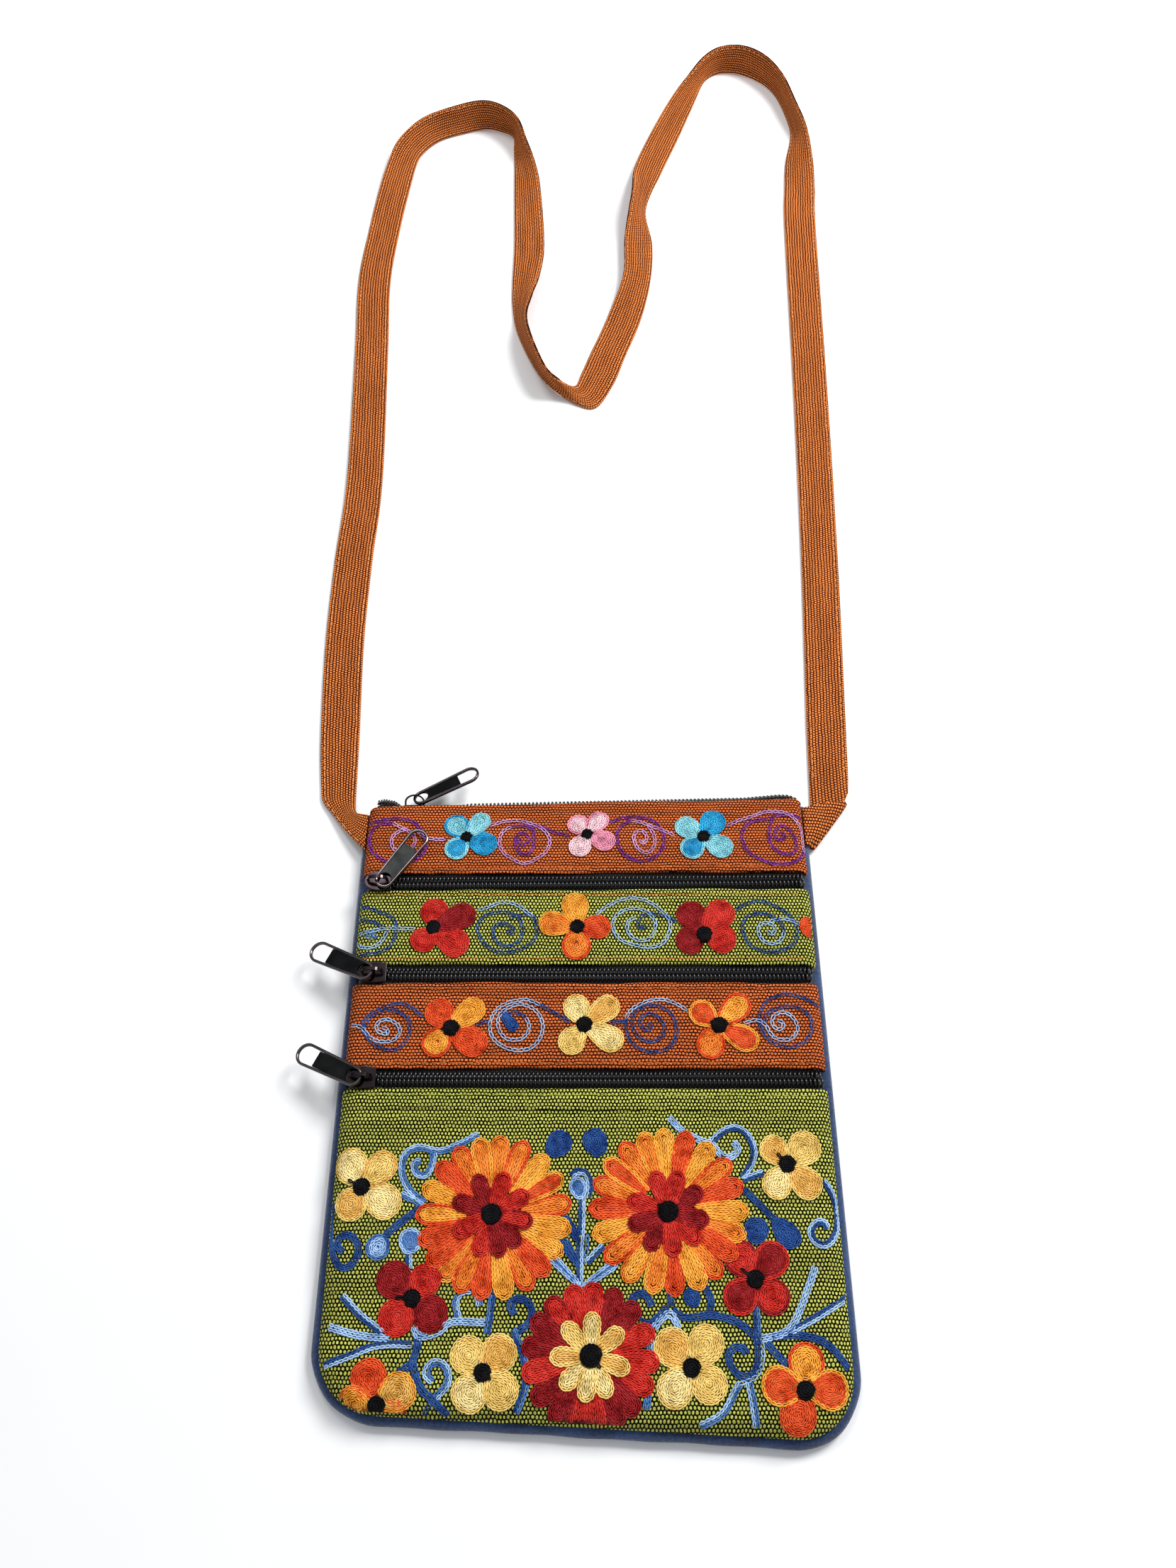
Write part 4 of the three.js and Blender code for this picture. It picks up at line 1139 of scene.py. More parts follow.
class Embroidery:
    """Collects chain stitches on one cloth, with the thread under them, and makes one piece of them."""

    def __init__(self, panel):
        self.low, self.high = panel_edges(panel)
        self.finish = PANELS[panel].finish
        self.links = []
        self.beds = []

    def hold(self, points):
        """Points moved back to where the cloth carries stitches."""
        x, y = points[:, 0], points[:, 1]
        v = np.clip(unshear(x, y), self.low + MARGIN, self.high - MARGIN)
        reach = half_width_at(v) - MARGIN
        x = np.clip(x, -reach, reach)
        return np.stack([x, shear(x, v)], 1)

    def row(self, points, colour, lift=0.0, looseness=0.0, stitch=STITCH):
        """Chain stitches along a line; loose ones show the cloth through their links."""
        line = np.asarray(points, float)
        length = run_length(line)
        if length[-1] < SHORTEST:
            return
        count = max(1, int(round(length[-1] / (stitch * (1 + LOOSE_LONGER * looseness)))))
        at = np.linspace(0, length[-1], count + 1)
        knots = np.stack([np.interp(at, length, line[:, k]) for k in (0, 1)], 1)
        held = self.hold(knots)
        inside = np.linalg.norm(held - knots, axis=1) < (NUDGE if lift == 0 else RAISED_NUDGE)
        for i in range(count):
            if inside[i] and inside[i + 1]:
                self.links.append((*held[i], *held[i + 1], lift, looseness, colour))

    def vine(self, pixels, colours):
        """Rows side by side along a smooth line of pixels, one for each colour."""
        line = smooth_line([on_front(*p) for p in pixels], VINE_PARTS)
        if len(colours) == 1:
            self.row(line, colours[0], looseness=1.0)
            return
        side = left_of(np.gradient(line, axis=0))
        for k, colour in enumerate(colours):
            self.row(line + side * VINE_ROW * (k - (len(colours) - 1) / 2), colour)

    def petal(self, base, tip, half, colours, lift=0.0, waist=0.4, closed=False):
        """Rows that follow a rounded outline and fill it; the first colour is outside.

        Open petals have their rows end at the base, closed ones have them run all round.
        """
        axis = tip - base
        long = np.linalg.norm(axis)
        ahead = axis / long
        side = np.array([-ahead[1], ahead[0]])
        widest = max(PETAL_WIDEST, 1 - half / long)
        t = np.linspace(0, 1, PETAL_POINTS)
        grow = waist + (1 - waist) * np.sin(np.minimum(t / widest, 1) * math.pi / 2)
        close = np.sqrt(np.maximum(0, 1 - (np.maximum(t - widest, 0) / (1 - widest)) ** 2))

        def outline(inset):
            low = inset if closed else OPEN_INSET * inset
            there = base + ahead * (low + (long - inset - low) * t)[:, None]
            out = ((half - inset) * grow * close)[:, None]
            return np.concatenate([there + side * out, (there - side * out)[::-1]])

        self.beds.append((outline(PETAL_BED), colours[0], lift))
        inset = ROW / 2
        ring = 0
        while half - inset > PETAL_LEAST:
            line = outline(inset)
            if closed:
                line = np.concatenate([line, line[:1]])
            self.row(line, colours[min(ring, len(colours) - 1)], lift)
            inset += ROW
            ring += 1
        if half - inset > PETAL_MIDDLE * ROW:
            low = inset - ROW / 2 + MIDDLE_CLOSED * long if closed else MIDDLE_OPEN * long
            high = max(long - inset + ROW / 2, low + MIDDLE_LEAST * STITCH)
            self.row([base + ahead * low, base + ahead * high], colours[-1], lift)

    def disc(self, centre, radius, colour, lift=0.0):
        """A spiral of stitches that fills a round."""
        turns = max(1.0, radius / ROW)
        angle = np.linspace(0, 2 * math.pi * turns, int(DISC_POINTS * turns) + 1)
        reach = np.linspace(max(radius - ROW / 2, DISC_LEAST), DISC_END, len(angle))
        line = centre + np.stack([reach * np.cos(angle), reach * np.sin(angle)], 1)
        self.row(line, colour, lift, stitch=DISC_STITCH * STITCH)
        edge = np.arange(DISC_POINTS) * 2 * math.pi / DISC_POINTS
        outline = centre + (radius - DISC_BED) * np.stack([np.cos(edge), np.sin(edge)], 1)
        self.beds.append((outline, colour, lift))

    def drop_hidden(self, beds):
        """Takes out the stitches that a higher bed covers."""
        data = np.array([link[:5] for link in self.links])
        middles = (data[:, :2] + data[:, 2:4]) / 2
        hidden = np.zeros(len(data), bool)
        for outline, _, lift in beds:
            hidden |= (data[:, 4] < lift - COVER_STEP) & inside_outline(middles, outline)
        self.links = [link for link, under in zip(self.links, hidden) if not under]

    def link_points(self):
        """Points of two bowed strands for each stitch."""
        data = np.array([link[:6] for link in self.links])
        count = len(data)
        jitter = random.normal(0, END_CHANCE, (count, 4))
        start, end = data[:, :2] + jitter[:, :2], data[:, 2:4] + jitter[:, 2:]
        ahead = end - start
        side = left_of(ahead)
        fat = 1 + random.normal(0, FAT_CHANCE, count)
        lift, loose = data[:, 4], data[:, 5]
        points = np.zeros((count, 2, len(STRAND), STRAND_SIDES, 3))
        for k, hand in enumerate((1, -1)):
            for r, (t, aside, high, thick) in enumerate(STRAND):
                wide = hand * aside * (1 + LOOSE_WIDER * loose)
                thin = thick * fat * (1 - LOOSE_THINNER * loose)
                for c in range(STRAND_SIDES):
                    turn = c * 2 * math.pi / STRAND_SIDES
                    reach = wide + thin * math.cos(turn)
                    flat = start + ahead * t + side * reach[:, None]
                    points[:, k, r, c, :2] = flat
                    points[:, k, r, c, 2] = cloth_under(flat) + lift + high * fat + thin * math.sin(turn)
        return points.reshape(-1, 3)

    def bed_points(self, outline, lift):
        """Rings from the outline of a bed to its middle."""
        middle = outline.mean(0)
        rings = []
        for share, high in BED_RINGS:
            flat = self.hold(middle + (outline - middle) * share)
            raised = cloth_under(flat) + lift * min(1, high * BED_RISE) + high
            rings.append(np.stack([flat[:, 0], flat[:, 1], raised], 1))
        return np.concatenate(rings)

    def build(self, name):
        shades = sorted({(link[6], False) for link in self.links} | {(bed[1], True) for bed in self.beds})
        strand = grid_faces(len(STRAND), STRAND_SIDES, closed=True)
        each = len(STRAND) * STRAND_SIDES
        link = strand + moved(strand, each)
        starts = 2 * each * np.arange(len(self.links))
        faces = (np.array(link)[None] + starts[:, None, None]).reshape(-1, 4).tolist()
        kinds = np.repeat([shades.index((item[6], False)) for item in self.links], len(link)).tolist()
        points = [self.link_points()]
        total = len(points[0])
        for outline, colour, lift in self.beds:
            bed = self.bed_points(outline, lift)
            around = len(outline)
            cover = grid_faces(len(BED_RINGS), around, closed=True)
            cover.append(tuple(range(len(bed) - around, len(bed))))
            faces += moved(cover, total)
            kinds += [shades.index((colour, True))] * len(cover)
            points.append(bed)
            total += len(bed)
        # Beds take the darker copy of their thread, as painted shade between the stitches
        looks = [thread_material(*shade) for shade in shades]
        add_piece(name, np.concatenate(points), faces, self.finish, looks, face_looks=kinds)


# Letters of the colours in the tables of the embroidery
LETTERS = {
    "y": "yellow", "o": "orange", "r": "red_orange", "R": "red", "D": "dark_red", "c": "cream",
    "p": "pale_cream", "h": "ochre", "n": "navy", "b": "blue", "B": "pale_blue", "u": "purple",
    "l": "lavender", "s": "sky", "S": "cyan", "k": "pink", "K": "pale_pink",
}

# Stems, scrolls and leaves of each piece: letters of the rows side by side, pixels along them
VINES = {
    "band_upper": [
        ("u", [
            (517, 1168), (534, 1159), (553, 1155), (572, 1156), (587, 1163), (597, 1176), (602, 1191),
            (595, 1207), (579, 1216), (556, 1219), (539, 1213), (526, 1202), (521, 1187), (525, 1172),
            (539, 1163), (555, 1162)]),
        ("l", [
            (555, 1162), (566, 1168), (579, 1174), (586, 1185), (581, 1197), (568, 1203), (556, 1199),
            (552, 1189), (556, 1178), (572, 1170)]),
        ("l", [(587, 1171), (599, 1181), (614, 1185), (627, 1185)]),
        ("l", [
            (692, 1165), (710, 1160), (729, 1158), (748, 1162), (763, 1168), (771, 1176), (776, 1187),
            (771, 1201), (757, 1212), (738, 1219), (723, 1212), (710, 1203), (704, 1189), (709, 1174),
            (721, 1167)]),
        ("u", [
            (721, 1167), (736, 1166), (750, 1169), (754, 1185), (750, 1201), (738, 1207), (729, 1198),
            (727, 1185), (733, 1175), (746, 1180), (744, 1192), (734, 1192), (734, 1184)]),
        ("u", [(740, 1166), (763, 1167), (779, 1174), (803, 1179)]),
        ("u", [
            (861, 1160), (879, 1154), (896, 1153), (914, 1155), (927, 1163), (935, 1176), (937, 1191),
            (929, 1205), (916, 1213), (901, 1215), (883, 1208), (873, 1195), (870, 1180), (876, 1166),
            (890, 1158)]),
        ("l", [(890, 1158), (903, 1160), (918, 1166), (933, 1171), (951, 1179)]),
        ("l", [
            (914, 1165), (923, 1180), (923, 1193), (914, 1204), (901, 1199), (894, 1186), (896, 1175),
            (906, 1172), (913, 1182), (908, 1191), (902, 1186)]),
        ("l", [
            (1026, 1165), (1042, 1158), (1059, 1153), (1076, 1147), (1094, 1145), (1109, 1148),
            (1122, 1157), (1131, 1173), (1135, 1191), (1136, 1204)]),
        ("u", [
            (1136, 1204), (1124, 1215), (1098, 1220), (1074, 1213), (1055, 1202), (1047, 1184),
            (1049, 1169), (1063, 1158), (1081, 1156), (1102, 1150), (1120, 1151), (1131, 1158)]),
        ("u", [
            (1090, 1156), (1084, 1173), (1088, 1193), (1102, 1204), (1116, 1206), (1124, 1197),
            (1120, 1180), (1109, 1167), (1098, 1166), (1092, 1180), (1102, 1187), (1108, 1179),
            (1101, 1174)]),
    ],
    "band_middle": [
        ("n", [
            (503, 1284), (518, 1281), (537, 1287), (553, 1294), (559, 1307), (557, 1322), (549, 1337),
            (530, 1345), (506, 1350)]),
        ("n", [(500, 1302), (518, 1299), (532, 1303), (541, 1310)]),
        ("B", [
            (584, 1311), (557, 1310), (537, 1311), (520, 1315), (505, 1321), (501, 1330), (509, 1337),
            (526, 1337), (539, 1328), (546, 1315)]),
        ("b", [(532, 1312), (518, 1318), (520, 1325), (531, 1322), (526, 1317)]),
        ("B", [(675, 1284), (689, 1280), (710, 1273), (729, 1277), (742, 1286), (751, 1293)]),
        ("n", [
            (719, 1296), (735, 1291), (752, 1292), (757, 1309), (754, 1326), (736, 1339), (713, 1344),
            (694, 1340), (679, 1326), (674, 1309), (683, 1293), (702, 1287), (723, 1289), (734, 1297),
            (737, 1314), (731, 1330), (715, 1335), (700, 1329), (695, 1314), (702, 1304), (713, 1303),
            (724, 1310), (722, 1318), (715, 1314)]),
        ("B", [
            (842, 1290), (855, 1280), (873, 1271), (892, 1267), (912, 1271), (927, 1280), (940, 1292),
            (946, 1303), (943, 1318), (935, 1331), (918, 1337), (896, 1334), (877, 1327), (866, 1314),
            (865, 1298), (877, 1286), (892, 1282), (907, 1284), (920, 1293), (925, 1306), (920, 1320),
            (907, 1328), (892, 1323), (884, 1311), (887, 1299), (896, 1295)]),
        ("n", [
            (952, 1301), (940, 1293), (925, 1290), (907, 1291), (900, 1299), (902, 1310), (908, 1311),
            (909, 1304)]),
        ("n", [
            (1039, 1283), (1052, 1275), (1070, 1271), (1087, 1276), (1102, 1283), (1115, 1294),
            (1124, 1309), (1122, 1327), (1111, 1338), (1092, 1344), (1072, 1341), (1055, 1330),
            (1048, 1314), (1049, 1298), (1061, 1290), (1079, 1289), (1092, 1295), (1102, 1303),
            (1106, 1315)]),
        ("B", [
            (1106, 1315), (1102, 1327), (1089, 1332), (1075, 1327), (1069, 1312), (1073, 1303),
            (1087, 1303), (1094, 1311), (1089, 1319), (1083, 1313)]),
        ("B", [(1085, 1301), (1098, 1297), (1113, 1298), (1128, 1304)]),
    ],
    "band_lower": [
        ("n", [
            (595, 1434), (583, 1423), (568, 1416), (551, 1418), (537, 1424), (522, 1431), (513, 1442),
            (513, 1455), (522, 1468), (535, 1478), (551, 1482), (564, 1478), (574, 1467), (579, 1451),
            (576, 1438), (562, 1427), (549, 1425), (535, 1428), (520, 1437), (516, 1448)]),
        ("B", [
            (491, 1451), (509, 1449), (518, 1459), (526, 1467), (541, 1470), (557, 1467), (565, 1455),
            (560, 1445), (547, 1438), (534, 1442), (530, 1450), (537, 1458), (546, 1460), (548, 1453),
            (539, 1450)]),
        ("n", [(672, 1445), (690, 1440)]),
        ("B", [
            (761, 1418), (746, 1411), (727, 1412), (708, 1419), (696, 1431), (691, 1447), (694, 1463),
            (708, 1476), (727, 1482), (746, 1480), (759, 1470), (766, 1453), (763, 1436), (752, 1423),
            (734, 1417), (717, 1422), (704, 1433), (703, 1449), (710, 1463), (725, 1468), (740, 1463),
            (747, 1449), (742, 1436)]),
        ("n", [(742, 1436), (731, 1429), (718, 1430), (710, 1440)]),
        ("n", [(761, 1418), (777, 1426), (803, 1442)]),
        ("n", [(862, 1443), (884, 1441)]),
        ("B", [(968, 1425), (955, 1417), (938, 1411), (920, 1411), (905, 1416), (890, 1425), (883, 1437)]),
        ("n", [
            (883, 1437), (884, 1455), (892, 1472), (907, 1482), (927, 1484), (944, 1478), (954, 1462),
            (953, 1444), (944, 1427), (927, 1419), (907, 1421), (894, 1430), (892, 1446), (899, 1462),
            (914, 1470), (931, 1466), (938, 1451), (931, 1437), (918, 1430), (905, 1434), (903, 1447),
            (912, 1454), (920, 1450), (916, 1443)]),
        ("n", [
            (1161, 1429), (1148, 1416), (1128, 1406), (1109, 1403), (1089, 1408), (1076, 1420),
            (1071, 1438), (1074, 1453), (1083, 1466), (1098, 1475), (1118, 1477), (1135, 1470),
            (1145, 1453), (1144, 1438), (1133, 1425), (1113, 1420), (1094, 1423), (1081, 1431),
            (1078, 1444)]),
        ("B", [
            (1051, 1444), (1068, 1439), (1080, 1446), (1085, 1457), (1094, 1465), (1111, 1468),
            (1124, 1457), (1122, 1440), (1109, 1429), (1094, 1431), (1088, 1442), (1094, 1452),
            (1103, 1452), (1105, 1443), (1097, 1440)]),
    ],
    "front_panel": [
        # Top left scroll
        ("Bb", [
            (675, 1600), (649, 1614), (621, 1624), (592, 1619), (574, 1626), (567, 1643), (570, 1666),
            (583, 1684), (599, 1697)]),
        ("bB", [(612, 1626), (609, 1646), (599, 1659), (586, 1654), (584, 1641), (594, 1638)]),
        ("Bb", [(597, 1698), (582, 1692), (566, 1684)]),
        ("nn", [(597, 1701), (566, 1724), (543, 1744)]),
        ("nn", [
            (467, 1700), (466, 1730), (467, 1758), (475, 1783), (488, 1789), (502, 1777), (506, 1758),
            (496, 1744), (481, 1744), (475, 1757), (484, 1766)]),
        ("nB", [(577, 1770), (577, 1790)]),
        # Top right scroll
        ("BB", [(944, 1577), (963, 1596), (985, 1608), (1003, 1613)]),
        ("nB", [
            (1003, 1611), (1020, 1596), (1039, 1591), (1056, 1603), (1064, 1625), (1059, 1644),
            (1047, 1661)]),
        ("BB", [(1003, 1613), (1018, 1630), (1033, 1632), (1042, 1620), (1034, 1612)]),
        ("nB", [(1048, 1664), (1062, 1659), (1077, 1654)]),
        ("nn", [(1050, 1678), (1073, 1701), (1094, 1722)]),
        ("nB", [
            (1162, 1666), (1174, 1685), (1180, 1707), (1181, 1728), (1176, 1747), (1163, 1757),
            (1149, 1751), (1143, 1737), (1151, 1725), (1162, 1724), (1167, 1733)]),
        # Stem between the two round flowers
        ("nB", [(821, 1688), (821, 1712), (820, 1738), (818, 1760), (818, 1790), (818, 1815)]),
        ("b", [(829, 1742), (828, 1760), (825, 1782)]),
        ("nB", [(828, 1781), (840, 1768), (851, 1757)]),
        ("nB", [(830, 1688), (832, 1672), (828, 1657), (816, 1652), (806, 1659)]),
        # Lower left branches
        ("nB", [(483, 1828), (508, 1855), (540, 1881)]),
        ("BB", [(464, 1872), (506, 1884), (549, 1888)]),
        ("Bn", [(457, 1927), (492, 1913), (533, 1898), (581, 1897)]),
        ("nn", [(590, 1885), (588, 1904), (579, 1925), (561, 1937)]),
        ("nn", [(582, 1920), (591, 1955), (612, 1977), (632, 1998)]),
        ("n", [(608, 1978), (598, 1998)]),
        ("Bb", [(614, 1972), (632, 1951), (628, 1927), (610, 1922), (600, 1938), (610, 1949)]),
        ("BB", [(584, 1872), (592, 1886), (621, 1878), (637, 1865), (684, 1866)]),
        ("Bb", [(646, 1858), (643, 1834), (655, 1821), (671, 1824), (677, 1842)]),
        ("bn", [(695, 1819), (692, 1850), (687, 1882)]),
        ("nn", [(728, 1880), (745, 1868), (751, 1850), (744, 1836), (729, 1832), (719, 1842), (726, 1854)]),
        ("nb", [(724, 1876), (736, 1906), (742, 1933), (741, 1957), (734, 1978), (728, 1994)]),
        # Lower right branches
        ("nn", [(946, 1822), (946, 1842)]),
        ("nn", [
            (941, 1844), (926, 1861), (912, 1869), (900, 1860), (889, 1843), (895, 1828), (910, 1826),
            (920, 1842)]),
        ("BB", [(918, 1880), (930, 1864), (945, 1852), (952, 1863), (958, 1874)]),
        ("nn", [
            (949, 1848), (963, 1858), (983, 1858), (1003, 1855), (1029, 1861), (1049, 1871), (1068, 1888)]),
        ("nn", [(1001, 1853), (1003, 1832), (992, 1813)]),
        ("nb", [(1066, 1845), (1068, 1866), (1069, 1888)]),
        ("BB", [(1075, 1889), (1100, 1883), (1116, 1872), (1128, 1849), (1139, 1819), (1150, 1787)]),
        ("Bn", [(1116, 1878), (1149, 1860), (1196, 1830)]),
        ("nn", [(1089, 1886), (1121, 1883), (1158, 1891), (1181, 1910), (1197, 1932)]),
        ("nn", [(1082, 1895), (1096, 1911), (1111, 1926)]),
        ("nn", [
            (1068, 1890), (1070, 1915), (1064, 1936), (1048, 1943), (1034, 1932), (1027, 1914),
            (1035, 1901), (1048, 1902), (1053, 1910)]),
        ("B", [(1075, 1894), (1076, 1920), (1066, 1943), (1043, 1952)]),
        ("Bb", [(1043, 1952), (1034, 1970), (1018, 1996), (988, 2012)]),
        ("Bb", [(1056, 1950), (1062, 1977), (1067, 2014)]),
        ("bB", [(917, 1882), (918, 1905)]),
        ("bb", [(914, 1966), (912, 1988)]),
    ],
}
# Flowers of each piece: centre pixel, then petals by middle pixel, half width in mm,
# letters of the outer and the inner colour
FLOWERS = {
    "band_upper": [
        ((658, 1182), [
            (644, 1165, 5.1, "sS"), (679, 1159, 4.2, "SS"), (684, 1191, 5.3, "ss"),
            (644, 1198, 5.0, "Ss")]),
        ((828, 1178), [
            (816, 1164, 4.7, "kK"), (845, 1158, 4.3, "kK"), (853, 1187, 4.6, "kk"),
            (818, 1195, 4.7, "KK")]),
        ((992, 1181), [
            (968, 1167, 5.0, "SS"), (1006, 1160, 5.4, "ss"), (1017, 1195, 5.2, "SS"),
            (976, 1197, 5.0, "Ss")]),
    ],
    "band_middle": [
        ((611, 1310), [
            (613, 1286, 5.6, "RR"), (653, 1292, 5.5, "DD"), (642, 1331, 5.8, "RR"),
            (598, 1326, 5.4, "RR")]),
        ((814, 1308), [
            (811, 1277, 5.5, "yy"), (778, 1303, 5.3, "yo"), (844, 1308, 5.1, "rr"),
            (813, 1335, 5.8, "ro")]),
        ((993, 1318), [
            (975, 1291, 6.0, "DD"), (1016, 1289, 5.9, "RR"), (1018, 1325, 5.9, "RR"),
            (974, 1327, 5.8, "DD")]),
    ],
    "band_lower": [
        ((634, 1451), [
            (620, 1429, 5.7, "rr"), (667, 1425, 5.1, "yy"), (667, 1471, 5.7, "rr"),
            (615, 1472, 5.6, "ry")]),
        ((824, 1447), [
            (813, 1421, 5.2, "cp"), (857, 1421, 5.0, "ch"), (862, 1467, 5.1, "cp"),
            (806, 1470, 5.2, "cc")]),
        ((1012, 1447), [
            (990, 1429, 5.2, "yr"), (1041, 1419, 5.2, "ry"), (1053, 1467, 5.0, "yr"),
            (1002, 1475, 5.4, "ro")]),
    ],
    "front_panel": [
        ((510, 1675), [
            (495, 1644, 6.2, "cp"), (540, 1645, 5.6, "hc"), (543, 1696, 6.2, "cp"),
            (495, 1699, 6.0, "ch")]),
        ((1110, 1643), [
            (1091, 1622, 5.3, "ch"), (1135, 1619, 6.0, "cc"), (1139, 1671, 5.6, "ch"),
            (1095, 1672, 5.3, "cp")]),
        ((680, 1937), [
            (660, 1912, 6.2, "cc"), (704, 1909, 6.2, "ch"), (706, 1962, 6.2, "cc"),
            (662, 1966, 6.2, "cp")]),
        ((975, 1930), [
            (948, 1900, 6.3, "ch"), (996, 1895, 6.2, "cc"), (1001, 1954, 6.1, "cc"),
            (951, 1961, 6.0, "cp")]),
        ((580, 1832), [
            (556, 1805, 6.2, "DD"), (601, 1805, 5.4, "RR"), (607, 1854, 6.2, "DD"),
            (559, 1859, 6.2, "RR")]),
        ((1065, 1805), [
            (1045, 1775, 6.0, "DR"), (1089, 1776, 6.0, "RD"), (1090, 1830, 6.0, "DR"),
            (1044, 1830, 6.0, "RD")]),
        ((531, 1984), [
            (520, 1943, 6.1, "rr"), (562, 1963, 6.1, "yh"), (499, 1982, 6.0, "oy"),
            (552, 1998, 5.6, "ro")]),
        ((1136, 1962), [
            (1137, 1921, 6.2, "ry"), (1173, 1961, 6.3, "yr"), (1126, 1999, 6.2, "rr"),
            (1099, 1955, 6.2, "yr")]),
    ],
}
# Round flowers: centre pixel, then inner radius, outer radius and petal half width in mm, lift,
# and the petals as degrees with the letters of their outer and inner colours
ROUND_FLOWERS = [
    (697, 1715, 9.0, 27.6, 3.7, 0.2, [
        (87, "oo"), (68, "ro"), (48, "yy"), (29, "yr"), (9, "ro"), (-10, "yy"), (-28, "yy"), (-45, "rr"),
        (-61, "ro"), (-80, "yy"), (-98, "rr"), (-115, "ro"), (-130, "yo"), (-145, "rr"), (-162, "rr"),
        (179, "ry"), (159, "yy"), (140, "rr"), (122, "ro"), (104, "yo")]),
    (694, 1713, 1.5, 14.8, 3.2, 0.8, [
        (115, "DD"), (72, "RR"), (29, "RR"), (-11, "DR"), (-47, "DD"), (-76, "DD"), (-108, "RR"),
        (-153, "RR"), (161, "DD")]),
    (943, 1707, 9.0, 28.2, 3.7, 0.2, [
        (92, "yy"), (108, "yo"), (125, "ro"), (143, "yr"), (160, "ro"), (179, "rr"), (-162, "yy"),
        (-143, "ro"), (-124, "oy"), (-104, "yo"), (-87, "rr"), (-68, "yy"), (-52, "ro"), (-34, "rr"),
        (-18, "yo"), (-1, "yy"), (18, "rr"), (36, "ro"), (55, "yy"), (74, "rr")]),
    (942, 1711, 1.5, 14.8, 3.3, 0.8, [
        (108, "RR"), (72, "RR"), (33, "DD"), (-11, "DD"), (-44, "RR"), (-83, "RR"), (-121, "DD"),
        (-162, "DD"), (161, "RR")]),
    (832, 1915, 7.0, 23.4, 3.7, 0.2, [
        (106, "RR"), (87, "RR"), (66, "DD"), (45, "DD"), (21, "RR"), (-4, "RR"), (-25, "RR"), (-47, "DD"),
        (-65, "DD"), (-85, "RR"), (-103, "DR"), (-122, "DD"), (-145, "DD"), (-167, "RR"), (171, "DD"),
        (149, "DD"), (128, "DR")]),
    (833, 1914, 1.5, 13.8, 3.2, 0.8, [
        (132, "cc"), (87, "cp"), (37, "ch"), (-17, "ch"), (-63, "cp"), (-98, "cp"), (-136, "cp"),
        (180, "ch")]),
]
# Buds of each piece: base pixel, tip pixel, half width in mm, letters of the outer and the inner colour
BUDS = {
    "front_panel": [
        ((774, 1630), (802, 1598), 4.6, "nn"), ((848, 1631), (832, 1592), 4.5, "nn"),
        ((1067, 1756), (1067, 1716), 4.4, "nn"), ((1092, 1721), (1126, 1759), 4.3, "nn"),
        ((542, 1742), (524, 1778), 4.4, "bB"), ((578, 1770), (580, 1731), 4.3, "Bb"),
        ((820, 1692), (811, 1660), 3.3, "Bb"), ((817, 1751), (794, 1714), 1.9, "nn"),
        ((817, 1787), (791, 1746), 1.8, "nn"), ((819, 1815), (774, 1770), 1.7, "Bb"),
        ((822, 1816), (873, 1779), 1.7, "Bb"), ((984, 1843), (968, 1818), 3.0, "nn"),
    ],
    "band_middle": [
        ((1160, 1311), (1127, 1310), 4.8, "rr"),
    ],
    "band_lower": [
        ((708, 1428), (729, 1455), 2.3, "nn"),
    ],
}
# Black middles of each piece: pixel, radius in mm, lift, pixel of a trailing tail if any
MIDDLES = {
    "front_panel": [
        ((510, 1675), 3.4, 0.8, (492, 1665)), ((1110, 1643), 3.4, 0.8, (1096, 1628)),
        ((680, 1937), 3.3, 0.8, (692, 1946)), ((975, 1930), 3.4, 0.8, None),
        ((581, 1832), 3.3, 0.8, (559, 1831)), ((1065, 1805), 3.4, 0.8, (1045, 1790)),
        ((531, 1984), 3.4, 0.8, None), ((1136, 1962), 3.4, 0.8, None), ((693, 1714), 3.9, 1.5, (681, 1705)),
        ((942, 1710), 3.9, 1.5, (928, 1699)), ((833, 1913), 4.1, 1.5, (847, 1930)),
    ],
    "band_upper": [
        ((658, 1182), 2.7, 0.8, None), ((828, 1178), 2.7, 0.8, None), ((992, 1181), 2.9, 0.8, (984, 1182)),
    ],
    "band_middle": [
        ((611, 1309), 3.2, 0.8, None), ((814, 1308), 3.2, 0.8, (804, 1312)),
        ((993, 1319), 3.5, 0.8, (989, 1331)),
    ],
    "band_lower": [
        ((636, 1451), 3.5, 0.8, (622, 1453)), ((824, 1446), 3.4, 0.8, None),
        ((1014, 1447), 3.5, 0.8, (1002, 1442)),
    ],
}

# Lines of topstitching: zip that they lie beside, distance from its opening, thread
TOPSTITCH = [
    ("zip_upper", 2.2, "rust"), ("zip_upper", -2.4, "rust"),
    ("zip_middle", 2.4, "rust"), ("zip_middle", -2.2, "rust"),
    ("zip_lower", 2.0, "rust"), ("zip_lower", -2.6, "olive"),
]
# Straight stitches: place along one and depth there, then length, pitch, thickness, sides, first and
# last place
TOP_SHARE = np.array([0.0, 0.12, 0.5, 0.88, 1.0])
TOP_DEPTH = np.array([0.35, 0.05, -0.08, 0.05, 0.35])
TOP_LENGTH = 2.9
TOP_PITCH = 3.3
TOP_RADIUS = 0.24
TOP_SIDES = 5
TOP_FIRST = 2.5
TOP_LAST = 5.5
# Waver of a line of them: size, and what x is divided by
TOP_WAVER = (0.12, 7)


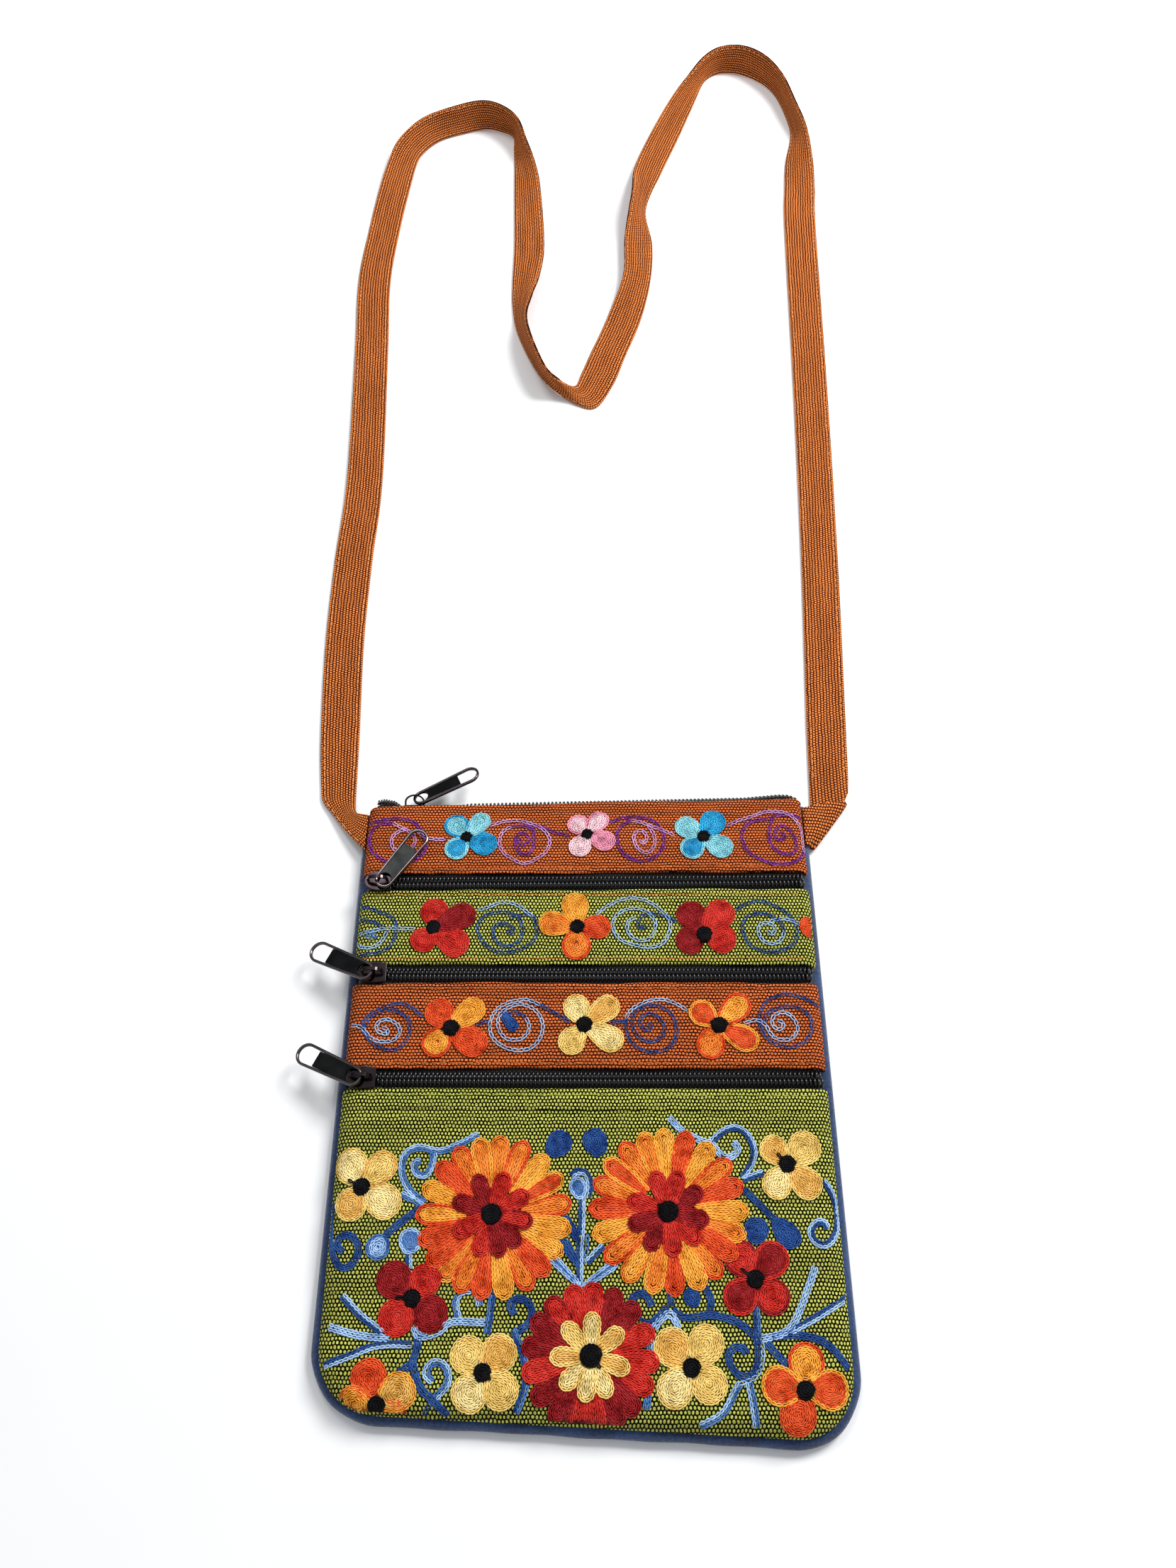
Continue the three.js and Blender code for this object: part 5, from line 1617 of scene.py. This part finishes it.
def topstitch():
    """Rows of short straight stitches beside the zips, dipping into the cloth at their ends."""
    shades = sorted({thread for _, _, thread in TOPSTITCH})
    paths, kinds = [], []
    for zip_name, away, thread in TOPSTITCH:
        v = LINES[zip_name] + math.copysign(HALF_OPENING, away) + away
        for x in np.arange(-HALF_WIDTH + TOP_FIRST, HALF_WIDTH - TOP_LAST, TOP_PITCH):
            along = x + TOP_LENGTH * TOP_SHARE
            height = v + TOP_WAVER[0] * np.sin(along / TOP_WAVER[1])
            paths.append((front_points(along, height, TOP_DEPTH), TOP_RADIUS))
            kinds.append(shades.index(thread))
    points, faces = ribs(paths, TOP_SIDES)
    looks = [thread_material(thread) for thread in shades]
    each = len(faces) // len(paths)
    add_piece("topstitching", points, faces, "weave_orange", looks, face_looks=np.repeat(kinds, each))


# Heights of petals: of flowers and how much every other one is higher, the same for round flowers, buds
FLOWER_LIFT = (0.15, 0.12)
ROUND_STEP = 0.2
BUD_LIFT = 0.1
FLOWER_START = 0.6
FLOWER_WAIST = 0.3


def named(letters):
    return [LETTERS[letter] for letter in letters]


def add_flowers(work):
    for piece, flowers in FLOWERS.items():
        for centre_pixel, petals in flowers:
            centre = on_front(*centre_pixel)
            for number, (u, v, half, letters) in enumerate(petals):
                middle = on_front(u, v)
                ahead = (middle - centre) / np.linalg.norm(middle - centre)
                lift = FLOWER_LIFT[0] + FLOWER_LIFT[1] * (number % 2)
                start, end = centre + ahead * FLOWER_START, middle + ahead * half
                work[piece].petal(start, end, half, named(letters), lift, FLOWER_WAIST, True)


def add_round_flowers(rounds):
    for u, v, near, far, half, lift, petals in ROUND_FLOWERS:
        centre = on_front(u, v)
        for number, (degrees, letters) in enumerate(petals):
            ahead = np.array([math.cos(math.radians(degrees)), math.sin(math.radians(degrees))])
            raised = lift + ROUND_STEP * (number % 2)
            rounds.petal(centre + ahead * near, centre + ahead * far, half, named(letters), raised)


def add_middles(work):
    for piece, middles in MIDDLES.items():
        for pixel, radius, lift, tail in middles:
            centre = on_front(*pixel)
            work[piece].disc(centre, radius, "black", lift)
            if tail:
                work[piece].row([centre, on_front(*tail)], "black", lift)


def embroider():
    work = {name: Embroidery(name) for name in PANELS}
    rounds = Embroidery("front_panel")
    scrolls = Embroidery("front_panel")
    for piece, vines in VINES.items():
        target = scrolls if piece == "front_panel" else work[piece]
        for letters, pixels in vines:
            target.vine(pixels, named(letters))
    for piece, buds in BUDS.items():
        for base, tip, half, letters in buds:
            work[piece].petal(on_front(*base), on_front(*tip), half, named(letters), BUD_LIFT, closed=True)
    add_flowers(work)
    add_round_flowers(rounds)
    add_middles(work)
    front_beds = work["front_panel"].beds + rounds.beds
    work["scrolls"] = scrolls
    work["round_flowers"] = rounds
    for name, stitches in work.items():
        stitches.drop_hidden(front_beds if stitches.low == BOTTOM else stitches.beds)
        stitches.build("embroidery_" + name)


topstitch()
embroider()

# Floor, light and camera: half width of the floor in metres, its tones, light of the room by height above the
# horizon, its tint, then lamps by place, target, size and power
FLOOR_HALF = 12.0
FLOOR_TONES = [(0.3, grey(0.86)), (0.7, grey(0.9))]
SKY = [(0.38, 0.28), (0.86, 0.69)]
SKY_TINT = (0.93, 0.96, 1.0)
LAMPS = {
    "key": ((0.75, 0.75, 1.15), (0, 0.12, 0), 0.55, 21.0),
    "window": ((-0.25, 0.82, 1.25), (0, 0.1, 0), 0.45, 4.5),
}


def add_floor():
    shader = Shader("floor_paper", roughness=0.9)
    shader.colour(shader.ramp(shader.noise(scale=6.0), FLOOR_TONES))
    h = FLOOR_HALF
    mesh = bpy.data.meshes.new("floor")
    mesh.from_pydata([(-h, -h, 0), (h, -h, 0), (h, h, 0), (-h, h, 0)], [], [(0, 1, 2, 3)])
    mesh.materials.append(shader.material)
    floor = bpy.data.objects.new("floor", mesh)
    bpy.context.scene.collection.objects.link(floor)


def add_light(name, place, target, size, power):
    data = bpy.data.lights.new(name, "AREA")
    data.shape = "DISK"
    data.size = size
    data.energy = power
    light = bpy.data.objects.new(name, data)
    light.location = place
    light.rotation_euler = (Vector(target) - Vector(place)).to_track_quat("-Z", "Y").to_euler()
    bpy.context.scene.collection.objects.link(light)


def add_studio():
    world = bpy.data.worlds.new("studio")
    world.use_nodes = True
    tree = world.node_tree
    height = tree.nodes.new("ShaderNodeSeparateXYZ")
    tree.links.new(tree.nodes.new("ShaderNodeTexCoord").outputs["Generated"], height.inputs[0])
    sky = tree.nodes.new("ShaderNodeValToRGB")
    for element, (at, level) in zip(sky.color_ramp.elements, SKY):
        element.position = at
        element.color = (*(tint * level for tint in SKY_TINT), 1)
    tree.links.new(height.outputs["Z"], sky.inputs["Fac"])
    tree.links.new(sky.outputs["Color"], tree.nodes["Background"].inputs["Color"])
    bpy.context.scene.world = world
    for name, lamp in LAMPS.items():
        add_light(name, *lamp)
    bpy.context.scene.view_settings.view_transform = "Standard"


def add_camera():
    data = bpy.data.cameras.new("camera")
    data.sensor_width = SENSOR
    data.lens = SENSOR * FOCAL / PHOTO[1]
    camera = bpy.data.objects.new("camera", data)
    camera.location = [c * MM for c in EYE]
    camera.rotation_euler = Euler((math.radians(TILT), 0, 0))
    bpy.context.scene.collection.objects.link(camera)
    bpy.context.scene.camera = camera


add_floor()
add_studio()
add_camera()
